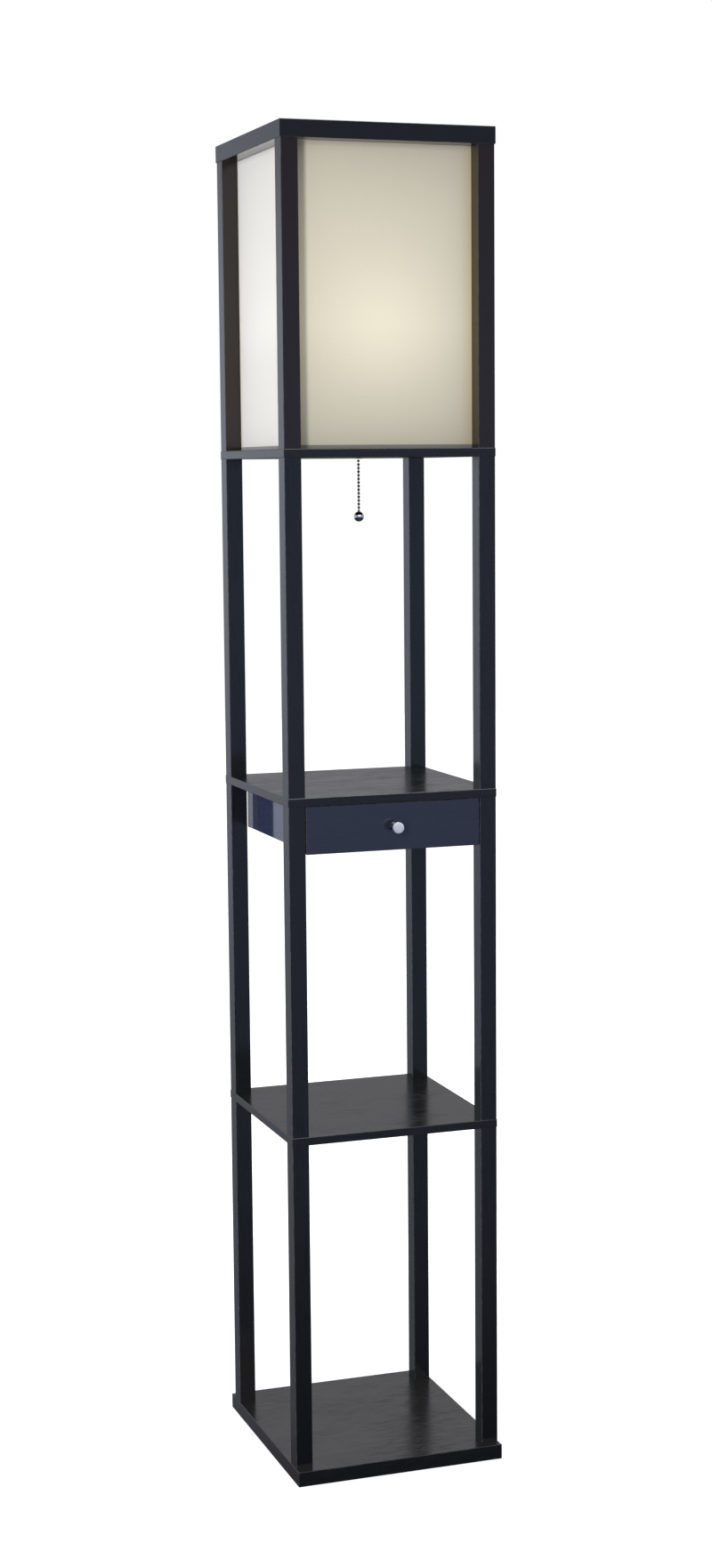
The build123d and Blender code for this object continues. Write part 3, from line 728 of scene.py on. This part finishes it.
def turned(
    outline: Sequence[Span],
    foot: Vector,
    steps: int,
    turning: Turning = Turning.UPRIGHT,
    closed: bool = False,
) -> Mesh:
    """Spin an outline into a turned shape.

    Args:
        outline: radius and height pairs, in metres from the foot.
        foot: where the axis starts.
        steps: how many faces go round.
        turning: which way the axis points.
        closed: whether the outline's end joins its start, as for a ring.

    Returns:
        The mesh, in the lamp's frame.
    """
    mesh = bmesh.new()
    points = [mesh.verts.new((radius, 0.0, height)) for radius, height in outline]
    pairs = list(zip(points, points[1:]))
    if closed:
        pairs.append((points[-1], points[0]))
    edges = [mesh.edges.new(pair) for pair in pairs]
    upright = Vector(Turning.UPRIGHT.value)
    whole = {"cent": (0.0, 0.0, 0.0), "axis": upright, "angle": math.tau, "use_merge": True}
    bmesh.ops.spin(mesh, geom=points + edges, steps=steps, **whole)
    bmesh.ops.remove_doubles(mesh, verts=mesh.verts, dist=1e-7)
    bmesh.ops.dissolve_degenerate(mesh, edges=mesh.edges, dist=1e-7)
    bmesh.ops.recalc_face_normals(mesh, faces=mesh.faces)
    spin_to = upright.rotation_difference(Vector(turning.value)).to_matrix().to_4x4()
    bmesh.ops.transform(mesh, matrix=Matrix.Translation(foot) @ spin_to, verts=mesh.verts)
    return mesh


def merged(parts: Sequence[Mesh]) -> Mesh:
    """Put several meshes into one, and free them.

    Args:
        parts: the meshes.

    Returns:
        The whole mesh.
    """
    whole = bmesh.new()
    for part in parts:
        carrier = bpy.data.meshes.new("carrier")
        part.to_mesh(carrier)
        whole.from_mesh(carrier)
        bpy.data.meshes.remove(carrier)
        part.free()
    return whole


def square_tube(low: Vector, high: Vector, wall: float, corner: float) -> Mesh:
    """Make an upright square tube with rounded corners and a wall that goes inwards.

    Args:
        low: its lowest outer corner.
        high: its highest outer corner.
        wall: the wall's thickness.
        corner: the radius of the upright corners.

    Returns:
        The mesh, in the lamp's frame.
    """
    mesh = bmesh.new()
    centre = (low + high) / 2
    bmesh.ops.create_cube(mesh, size=1.0)
    bmesh.ops.scale(mesh, vec=high - low, verts=mesh.verts)
    bmesh.ops.translate(mesh, vec=centre, verts=mesh.verts)
    ends = [face for face in mesh.faces if abs(face.normal.z) > 0.5]
    bmesh.ops.delete(mesh, geom=ends, context="FACES_ONLY")
    uprights = [edge for edge in mesh.edges if abs(edge.verts[0].co.z - edge.verts[1].co.z) > 1e-6]
    bmesh.ops.bevel(
        mesh, geom=uprights, offset=corner, affect="EDGES", segments=5, profile=0.5, material=-1
    )
    bmesh.ops.recalc_face_normals(mesh, faces=mesh.faces)
    if any(face.normal.dot(face.calc_center_median() - centre) < 0 for face in mesh.faces):
        bmesh.ops.reverse_faces(mesh, faces=mesh.faces)
    bmesh.ops.solidify(mesh, geom=mesh.faces[:], thickness=wall)
    return mesh


# ---------------- the lamp's sub-assemblies
@dataclass
class WoodStand:
    """The base, the posts, the boards, the top frame and the drawer's case."""

    tiers: tuple[str, ...] = ("bottom", "lower", "middle")
    corners: tuple[str, ...] = ("front_left", "front_right", "rear_left", "rear_right")

    def posts(self, *tiers: str) -> list[str]:
        """List the posts of some tiers."""
        return [f"{tier}_post_{corner}" for tier in tiers for corner in self.corners]

    def dress(self, bench: Bench) -> None:
        """Cover the wooden nodes with black wood, each with its grain along its length; the light tier's
        posts get painted warm light from the shade.

        Args:
            bench: where pieces are dressed.
        """
        upright = BlackWood("black_wood_upright", Grain.ALONG_Z).build()
        # the light tier's posts: same lacquer, with a warmer tone and tinted gloss as painted warm light from
        # the lit shade
        painted_glow_wood = BlackWood(
            "black_wood_painted_glow",
            Grain.ALONG_Z,
            tone=(0.0105, 0.0058, 0.0042),
            streak_tone=(0.0080, 0.0046, 0.0034),
            painted_inner_glow_tint=(1.0, 0.70, 0.20),
        ).build()
        across = BlackWood("black_wood_across", Grain.ALONG_X).build()
        deep = BlackWood("black_wood_deep", Grain.ALONG_Y).build()
        polish = {
            "tone": (0.023, 0.028, 0.052),
            "streak_tone": (0.019, 0.024, 0.045),
            "smooth": 0.05,
            "rough": 0.09,
            "relief_height": 0.002 * MM,
        }
        case_side = BlackWood("polished_case_side", Grain.ALONG_Y, ior=2.35, **polish).build()
        case_back = BlackWood("polished_case_back", Grain.ALONG_X, ior=2.15, **polish).build()
        board = BlackWood(
            "black_board",
            Grain.ALONG_X,
            worn_and_highlit_tone=(0.030, 0.030, 0.032),
            smooth=0.17,
            rough=0.40,
            relief_height=0.017 * MM,
            wander=22.0 * MM,
        ).build()
        bench.dress(upright, *self.posts(*self.tiers))
        bench.dress(painted_glow_wood, *self.posts("light"))
        bench.dress(across, "top_rail_front", "top_rail_back")
        bench.dress(deep, "top_rail_left", "top_rail_right")
        bench.dress(case_side, "case_side_left", "case_side_right")
        bench.dress(case_back, "case_back")
        bench.dress(board, "base_board", "lower_shelf", "middle_shelf", "light_floor")


@dataclass
class Drawer:
    """The drawer that slides out under the middle shelf, and its knob."""

    knob_sides: int = 72
    foot_radius: float = 5.0 * MM
    foot_edge: float = 0.35 * MM
    neck_radius: float = 3.6 * MM
    head_length: float = 5.0 * MM
    groove_back: float = 2.3 * MM
    groove_depth: float = 0.45 * MM

    def knob_outline(self, radius: float, length: float) -> list[Span]:
        """List the knob's outline from the drawer front outwards.

        Args:
            radius: the knob's largest radius.
            length: how far it stands out.

        Returns:
            Radius and height pairs.
        """
        foot, neck = self.foot_radius, self.neck_radius
        head = length - self.head_length
        groove = length - self.groove_back
        return [
            (0.0, 0.0),
            (foot, 0.0),
            (foot, 1.2 * MM),
            (foot - self.foot_edge, 1.6 * MM),
            (neck + 0.5 * MM, 2.3 * MM),
            (neck, 3.3 * MM),
            (neck, head - 1.2 * MM),
            (neck + 0.6 * MM, head - 0.4 * MM),
            (radius - 0.8 * MM, head),
            (radius - 0.2 * MM, head + 0.3 * MM),
            (radius, head + 0.8 * MM),
            (radius, groove - 0.35 * MM),
            (radius - self.groove_depth, groove - 0.1 * MM),
            (radius - self.groove_depth, groove + 0.1 * MM),
            (radius, groove + 0.35 * MM),
            (radius, length - 0.7 * MM),
            (radius - 0.12 * MM, length - 0.32 * MM),
            (radius - 0.45 * MM, length - 0.06 * MM),
            (radius - 0.9 * MM, length),
            (0.0, length),
        ]

    def build(self, bench: Bench) -> None:
        """Dress the drawer's boards and turn its knob.

        Args:
            bench: where pieces are made and dressed.
        """
        front = BlackWood(
            "drawer_front_wood",
            Grain.ALONG_X,
            tone=(0.0175, 0.0200, 0.0385),
            streak_tone=(0.0155, 0.0175, 0.0345),
            smooth=0.12,
            rough=0.15,
            relief_height=0.0015 * MM,
        ).build()
        black = (0.035, 0.034, 0.034), (0.016, 0.015, 0.015)
        brown = (0.050, 0.044, 0.040), (0.030, 0.027, 0.025)
        beech = (0.55, 0.40, 0.24), (0.42, 0.29, 0.16)
        sides = RawWood("drawer_side_wood", Grain.ALONG_Y, *black).build()
        back = RawWood("drawer_back_wood", Grain.ALONG_X, *black).build()
        bottom = RawWood("drawer_panel", Grain.ALONG_X, *brown, roughness=0.5).build()
        dowels = RawWood("beech_dowel", Grain.ALONG_Z, *beech).build()
        bench.dress(front, "drawer_front")
        bench.dress(sides, "drawer_side_left", "drawer_side_right", "drawer_runners")
        bench.dress(back, "drawer_back")
        bench.dress(bottom, "drawer_bottom")
        bench.dress(dowels, "drawer_dowels", "case_dowels")
        self.build_knob(bench)

    def build_knob(self, bench: Bench) -> None:
        """Turn the knob, which points forwards from the drawer front.

        Args:
            bench: where pieces are made.
        """
        low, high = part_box("drawer_knob")
        middle = (low + high) / 2
        foot = Vector((middle.x, high.y, middle.z))
        outline = self.knob_outline((high.z - low.z) / 2, high.y - low.y)
        knob = turned(outline, foot, self.knob_sides, Turning.FORWARD)
        nickel = TurnedNickel("satin_nickel", middle.x, middle.z, low.y + self.head_length).build()
        bench.seat(knob, "drawer_knob_turned", "drawer", nickel, "drawer_knob")


@dataclass
class Shade:
    """The square cloth shade, its hems and the rods inside them."""

    wall: float = 0.8 * MM
    corner: float = 0.7 * MM
    ease: Span = (2.00 * MM, 0.85 * MM)
    rise: float = 0.8 * MM
    hem_height: float = 4.5 * MM
    hem_wall: float = 0.5 * MM
    hem_ease: Span = (1.60 * MM, 0.38 * MM)
    flat: Span = (0.866, 0.3458)

    def build(self, bench: Bench) -> None:
        """Make the cloth sleeve and its hems.

        Args:
            bench: where pieces are made and dressed.
        """
        bulb_low, bulb_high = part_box("bulb_glass")
        bulb_centre = Vector((0.0, 0.0, bulb_high.z - (bulb_high.x - bulb_low.x) / 2))
        low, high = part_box("shade_sleeve")
        cloth = ShadeCloth("shade_cloth", bulb_centre, high.x).build()
        out = Vector((*self.ease, 0.0))
        up = Vector((0.0, 0.0, self.rise))
        sleeve = square_tube(low - out, high + out + up, self.wall, self.corner)
        sleeve = bench.seat(sleeve, "shade_cloth_sleeve", "stand", cloth, "shade_sleeve")
        # the lower hem is the same tape as the upper one, drawn darker as painted shade at the shade's foot
        grey = WovenTape("hem_tape_painted_shade", (0.24, 0.23, 0.21), (0.16, 0.15, 0.14)).build()
        pale = WovenTape("hem_tape_pale", (0.62, 0.575, 0.475), (0.52, 0.48, 0.40)).build()
        low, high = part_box("shade_hems")
        out = Vector((*self.hem_ease, 0.0))
        low_top = Vector((high.x, high.y, low.z + self.hem_height))
        high_foot = Vector((low.x, low.y, high.z - self.hem_height))
        lower = square_tube(low - out, low_top + out, self.hem_wall, self.corner)
        upper = square_tube(high_foot - out, high + out + up, self.hem_wall, self.corner)
        hems = [
            bench.seat(lower, "shade_hem_lower", "stand", grey, "shade_hems"),
            bench.seat(upper, "shade_hem_upper", "stand", pale, "shade_hems"),
        ]
        white = MouldedPlastic("white_rod", (0.80, 0.79, 0.75), (0.72, 0.71, 0.67), 0.5).build()
        bench.dress(white, "shade_stiffeners")


@dataclass
class LightFitting:
    """The lampholder, its bulb, the tube that carries them, and the lamp's screws and inserts."""

    def dress(self, bench: Bench) -> None:
        """Dress the fitting and the fasteners.

        Args:
            bench: where pieces are dressed.
        """
        glass_low, glass_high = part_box("bulb_glass")
        glass = LitGlass("lit_glass", glass_low.z, glass_high.z).build()
        nickel = PlatedMetal("bright_nickel", (0.66, 0.65, 0.63), (0.50, 0.49, 0.47), 0.22).build()
        steel = PlatedMetal("zinc_steel", (0.60, 0.60, 0.58), (0.42, 0.42, 0.41), 0.36).build()
        brass = PlatedMetal("drawn_brass", (0.72, 0.55, 0.25), (0.48, 0.34, 0.14), 0.3).build()
        cap = PlatedMetal("bulb_cap_metal", (0.75, 0.75, 0.74), (0.55, 0.55, 0.54), 0.32).build()
        black = MouldedPlastic("black_plastic", (0.014, 0.014, 0.014), (0.022, 0.022, 0.022), 0.38).build()
        bench.dress(glass, "bulb_glass")
        bench.dress(nickel, "lampholder_cap", "lampholder_shell")
        bench.dress(steel, "riser_tube", "riser_nuts", "knob_screw", "base_bolts", "case_screws")
        bench.dress(steel, "top_frame_screws", "hanger_studs")
        bench.dress(brass, "threaded_inserts", "screw_shell", "centre_contact")
        bench.dress(cap, "bulb_base")
        bench.dress(black, "lampholder_insulator", "lead_gland")


@dataclass
class PullChain:
    """The bead chain that works the switch, with its bushing and its ball."""

    pitch: float = 4.25 * MM
    wire_radius: float = 0.62 * MM
    wire_sides: int = 10
    dimple: float = 0.35 * MM
    bead_sides: int = 20
    bead_rings: int = 12
    turned_sides: int = 48
    ball_mouth: float = 2.0 * MM
    ball_bore: float = 1.66 * MM
    ball_depth: float = 1.6 * MM
    ball_steps: int = 26
    bush_bore: float = 2.0 * MM
    bush_tube: float = 2.9 * MM
    bush_flange: float = 1.0 * MM
    bush_edge: float = 0.3 * MM
    bush_bead: float = 0.1 * MM

    def bead(self, centre: Vector, radius: float) -> Mesh:
        """Make one bead with a dimple at each pole, where the wire goes in.

        Args:
            centre: the bead's centre.
            radius: its radius.

        Returns:
            The mesh, in the lamp's frame.
        """
        mesh = bmesh.new()
        bmesh.ops.create_uvsphere(mesh, u_segments=self.bead_sides, v_segments=self.bead_rings, radius=radius)
        for vert in mesh.verts:
            if abs(vert.co.z) > radius * 0.99:
                vert.co.z -= math.copysign(self.dimple, vert.co.z)
        bmesh.ops.translate(mesh, vec=centre, verts=mesh.verts)
        return mesh

    def wire(self, low: Vector, high: Vector) -> Mesh:
        """Make the thin wire between two points on an upright line.

        Args:
            low: its lower end.
            high: its upper end.

        Returns:
            The mesh, in the lamp's frame.
        """
        mesh = bmesh.new()
        radii = {"radius1": self.wire_radius, "radius2": self.wire_radius}
        bmesh.ops.create_cone(mesh, cap_ends=True, segments=self.wire_sides, depth=high.z - low.z, **radii)
        bmesh.ops.translate(mesh, vec=(low + high) / 2, verts=mesh.verts)
        return mesh

    def run(self, node: str, first: Vector, step: float, count: int, radius: float) -> Mesh:
        """Make one run of beads on their wire, as long as its CAD node.

        Args:
            node: the CAD node of the run.
            first: the centre of the bead nearest the swivel.
            step: the distance to the next bead, with its direction.
            count: how many beads there are.
            radius: the beads' radius.

        Returns:
            The mesh, in the lamp's frame.
        """
        low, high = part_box(node)
        beads = [self.bead(first + Vector((0.0, 0.0, step * i)), radius) for i in range(count)]
        start = Vector((first.x, first.y, low.z if step > 0 else low.z + radius))
        end = Vector((first.x, first.y, high.z - radius if step > 0 else high.z))
        return merged([*beads, self.wire(start, end)])

    def build(self, bench: Bench) -> None:
        """Make the chain's three runs, its ball and its bushing.

        Args:
            bench: where pieces are made.
        """
        dark = PlatedMetal("chain_nickel", (0.25, 0.24, 0.23), (0.15, 0.15, 0.15), 0.2).build()
        chrome = PlatedMetal("ball_chrome", (0.95, 0.91, 0.86), (0.82, 0.79, 0.75), 0.1, 0.03).build()
        nickel = PlatedMetal("bushing_nickel", (0.30, 0.29, 0.28), (0.20, 0.20, 0.19), 0.25).build()
        low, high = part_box("chain_swivel")
        pivot, radius = (low + high) / 2, (high.z - low.z) / 2
        upper_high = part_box("chain_upper")[1]
        upper_count = round((upper_high.z - radius - pivot.z) / self.pitch)
        lower_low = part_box("chain_lower")[0]
        lower_count = round((pivot.z - lower_low.z - radius) / self.pitch)
        step = Vector((0.0, 0.0, self.pitch))
        upper = self.run("chain_upper", pivot + step, self.pitch, upper_count, radius)
        swivel = self.bead(pivot, radius)
        lower = self.run("chain_lower", pivot - step, -self.pitch, lower_count, radius)
        bench.seat(upper, "chain_upper_beads", "chain_upper", dark, "chain_upper")
        bench.seat(swivel, "chain_swivel_bead", "chain_swivel", dark, "chain_swivel")
        bench.seat(lower, "chain_lower_beads", "chain_lower", dark, "chain_lower")
        self.build_ball(bench, chrome)
        self.build_bushing(bench, nickel)

    def build_ball(self, bench: Bench, chrome: Material) -> None:
        """Turn the pull ball, with the mouth that holds the last bead.

        Args:
            bench: where pieces are made.
            chrome: what it is covered with.
        """
        low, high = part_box("pull_ball")
        radius = (high.x - low.x) / 2
        mouth_angle = math.acos(self.ball_mouth / radius)
        outline = [(0.0, -radius)]
        for step in range(1, self.ball_steps + 1):
            angle = -math.pi / 2 + (mouth_angle + math.pi / 2) * step / self.ball_steps
            outline.append((radius * math.cos(angle), radius * math.sin(angle)))
        top = radius * math.sin(mouth_angle)
        outline += [
            (self.ball_mouth - 0.15 * MM, top + 0.05 * MM),
            (self.ball_bore, top - 0.2 * MM),
            (self.ball_bore, top - self.ball_depth + 0.2 * MM),
            (0.0, top - self.ball_depth),
        ]
        centre = Vector(((low.x + high.x) / 2, (low.y + high.y) / 2, low.z + radius))
        ball = turned(outline, centre, self.turned_sides)
        bench.seat(ball, "pull_ball_turned", "chain_lower", chrome, "pull_ball")

    def build_bushing(self, bench: Bench, nickel: Material) -> None:
        """Turn the bushing in the light-box floor, with its rolled flange.

        Args:
            bench: where pieces are made.
            nickel: what it is covered with.
        """
        low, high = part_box("chain_bushing")
        flange, height = (high.x - low.x) / 2, high.z - low.z
        bore, tube, edge, bead = self.bush_bore, self.bush_tube, self.bush_edge, self.bush_bead
        outline = [
            (bore + edge, 0.0),
            (flange - edge, 0.0),
            (flange - bead, bead),
            (flange, edge),
            (flange, self.bush_flange),
            (tube, self.bush_flange),
            (tube, height - edge),
            (tube - edge, height),
            (bore, height),
            (bore, edge),
            (bore + bead, bead),
        ]
        foot = Vector(((low.x + high.x) / 2, (low.y + high.y) / 2, low.z))
        bushing = turned(outline, foot, self.turned_sides, closed=True)
        bench.seat(bushing, "chain_bushing_turned", "stand", nickel, "chain_bushing")


# ---------------- the studio
@dataclass(frozen=True)
class SoftLamp:
    """One soft lamp of the studio, which points at the shelf lamp's upright axis."""

    name: str
    place: Triple
    target_z: float
    size: Span
    watts: float
    colour: Colour
    mirrored: bool = False

    def build(self) -> None:
        """Put the lamp up, hidden from gloss unless it is mirrored."""
        data = bpy.data.lights.new(self.name, "AREA")
        data.shape = "RECTANGLE"
        data.size, data.size_y = self.size
        data.energy = self.watts
        data.color = self.colour
        lamp = bpy.data.objects.new(self.name, data)
        lamp.location = self.place
        aim = Vector((0.0, 0.0, self.target_z)) - Vector(self.place)
        lamp.rotation_euler = aim.to_track_quat("-Z", "Y").to_euler()
        lamp.visible_glossy = self.mirrored
        bpy.context.scene.collection.objects.link(lamp)


@dataclass(frozen=True)
class Gradient:
    """One tint at several levels, from the ground up to the sky."""

    tint: Colour
    levels: tuple[Span, ...]

    def stops(self) -> list[tuple[float, Colour]]:
        """List the place and the colour of each stop."""
        return [(place, tuple(part * level for part in self.tint)) for place, level in self.levels]


@dataclass
class Studio:
    """A white floor and backdrop, soft lamps and the camera of the photograph."""

    camera_azimuth: float = -18.984
    camera_elevation: float = 6.955
    camera_roll: float = -0.517
    camera_place: Triple = (-1.003261, -2.910573, 1.194436)
    focal_pixels: float = 2865.193
    picture_height: float = 1761.0
    sensor: float = 36.0
    far_clip: float = 60.0
    floor_half: float = 9.0
    floor_grey: Colour = (0.5, 0.5, 0.5)
    floor_seen: Span = (0.66, 1.0)
    floor_reach: Span = (0.20, 0.80)
    fill_level: float = 0.42
    front: Gradient = Gradient(
        (0.34, 0.43, 0.64),
        ((0.13, 0.06), (0.17, 0.32), (0.23, 0.66), (0.43, 1.0), (0.57, 1.0), (0.63, 0.65)),
    )
    low_left: Gradient = Gradient((0.80, 0.60, 0.58), ((0.0, 0.04), (0.125, 0.11)))
    left: Gradient = Gradient(
        (0.71, 0.76, 0.87),
        ((0.15, 0.28), (0.22, 0.35), (0.32, 0.50), (0.37, 0.68), (0.50, 1.0), (0.57, 1.0), (0.63, 0.60)),
    )
    right: Gradient = Gradient(
        (0.275, 0.272, 0.290),
        ((0.0, 0.12), (0.30, 0.50), (0.50, 1.0), (0.62, 1.50), (0.74, 1.08), (0.85, 2.3)),
    )
    behind_depth: Span = (-0.2, 0.3)
    right_side: Span = (-0.3, 0.3)
    box_colour: Colour = (2.9, 2.75, 2.55)
    box_foot: Span = (0.32, 0.40)
    box_top: Span = (0.70, 0.78)
    box_depth: Span = (-0.5, -0.4)
    lamps: tuple[SoftLamp, ...] = (
        SoftLamp("key_lamp", (-2.05, -2.85, 1.45), 1.1, (0.5, 1.6), 78.0, (1.0, 0.985, 0.96)),
        SoftLamp("left_lamp", (-3.2, 0.2, 1.1), 1.0, (1.8, 2.4), 108.0, (0.69, 0.76, 1.0)),
        SoftLamp("back_lamp", (2.5, 2.1, 1.3), 1.0, (1.8, 2.4), 64.0, (1.0, 0.99, 0.97)),
        SoftLamp("top_lamp", (0.2, -0.4, 4.0), 0.8, (2.0, 2.0), 50.0, WHITE, mirrored=True),
    )

    def build(self) -> None:
        """Set up everything round the lamp."""
        scene = bpy.context.scene
        scene.view_settings.view_transform = "Standard"
        self.add_camera(scene)
        self.add_world(scene)
        self.add_floor(scene)
        for lamp in self.lamps:
            lamp.build()

    def add_camera(self, scene: bpy.types.Scene) -> None:
        """Put the camera where the photograph was taken from.

        Args:
            scene: the scene that it looks at.
        """
        azimuth, elevation, roll = (
            math.radians(a) for a in (self.camera_azimuth, self.camera_elevation, self.camera_roll)
        )
        back = Vector((
            math.sin(azimuth) * math.cos(elevation),
            -math.cos(azimuth) * math.cos(elevation),
            math.sin(elevation),
        ))
        right = Vector((math.cos(azimuth), math.sin(azimuth), 0.0))
        up = back.cross(right)
        rolled_right = right * math.cos(roll) + up * math.sin(roll)
        rolled_up = up * math.cos(roll) - right * math.sin(roll)
        turn = Matrix((rolled_right, rolled_up, back)).transposed().to_4x4()
        data = bpy.data.cameras.new("camera")
        data.sensor_width = self.sensor
        data.lens = self.focal_pixels * self.sensor / self.picture_height
        data.clip_end = self.far_clip
        camera = bpy.data.objects.new("camera", data)
        scene.collection.objects.link(camera)
        camera.matrix_world = Matrix.Translation(Vector(self.camera_place)) @ turn
        scene.camera = camera

    def add_world(self, scene: bpy.types.Scene) -> None:
        """Make the surroundings: plain fill light, a white backdrop, and shades that gloss mirrors.

        Args:
            scene: the scene that they surround.
        """
        world = bpy.data.worlds.new("studio")
        world.use_nodes = True
        scene.world = world
        g = Graph(world.node_tree)
        path = g.add("LightPath").outputs
        mirrored = g.math("MAXIMUM", path["Is Glossy Ray"], path["Is Transmission Ray"])
        fill = g.light("Background", WHITE, self.fill_level)
        shine = g.light("Background", self.mirrored_colour(g), 1.0)
        white = g.light("Background", WHITE, 1.0)
        unseen = g.add("MixShader", {0: mirrored, 1: fill, 2: shine}).outputs[0]
        seen = g.add("MixShader", {0: path["Is Camera Ray"], 1: unseen, 2: white})
        g.end("OutputWorld", seen)

    def mirrored_colour(self, g: Graph) -> Socket:
        """Shade what gloss mirrors by its height, in front, on the left and on the right.

        Args:
            g: the world's graph.

        Returns:
            The colour's socket.
        """
        direction = g.split(g.add("TexCoord").outputs["Generated"])
        height = g.math("ADD", direction[2], 0.5)
        left = g.ramp(height, self.low_left.stops() + self.left.stops())
        right = g.ramp(height, self.right.stops())
        back = g.blend(g.remap(direction[0], self.right_side), left, right)
        front = g.ramp(height, self.front.stops())
        colour = g.blend(g.remap(direction[1], self.behind_depth), front, back)
        return g.vector("ADD", colour, self.softbox(g, direction)).outputs[0]

    def softbox(self, g: Graph, direction: Sequence[Socket]) -> Socket:
        """Draw a bright box high in front, for the round metal pieces to mirror.

        Args:
            g: the world's graph.
            direction: the direction's three numbers.

        Returns:
            The box's colour, black outside it.
        """
        above_foot = g.remap(direction[2], self.box_foot)
        below_top = g.remap(direction[2], self.box_top, FALLING)
        in_front = g.remap(direction[1], self.box_depth, FALLING)
        return g.blend(g.product(above_foot, below_top, in_front), BLACK, self.box_colour)

    def add_floor(self, scene: bpy.types.Scene) -> None:
        """Make the pale floor, which keeps the lamp's shadow.

        Args:
            scene: the scene that it belongs to.
        """
        mesh = bmesh.new()
        bmesh.ops.create_grid(mesh, x_segments=1, y_segments=1, size=self.floor_half)
        data = bpy.data.meshes.new("floor")
        mesh.to_mesh(data)
        mesh.free()
        material, g = new_material("floor_white")
        away = g.vector("LENGTH", g.here).outputs[1]
        glow = g.remap(away, self.floor_reach, self.floor_seen)
        seen = g.product(g.add("LightPath").outputs["Is Camera Ray"], glow)
        light = g.light("Emission", WHITE, seen)
        matt = g.add("BsdfDiffuse", {"Color": opaque(self.floor_grey)}).outputs[0]
        g.end("OutputMaterial", g.add("AddShader", {0: light, 1: matt}))
        data.materials.append(material)
        floor = bpy.data.objects.new("floor", data)
        floor.visible_glossy = False
        scene.collection.objects.link(floor)


def main() -> None:
    """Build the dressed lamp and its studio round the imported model."""
    logging.basicConfig(level=logging.INFO, format="%(name)s: %(message)s")
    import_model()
    bench = Bench()
    WoodStand().dress(bench)
    Drawer().build(bench)
    Shade().build(bench)
    LightFitting().dress(bench)
    PullChain().build(bench)
    Studio().build()
    log.info("%d pieces built", bench.pieces)


if __name__ == "__main__":
    main()
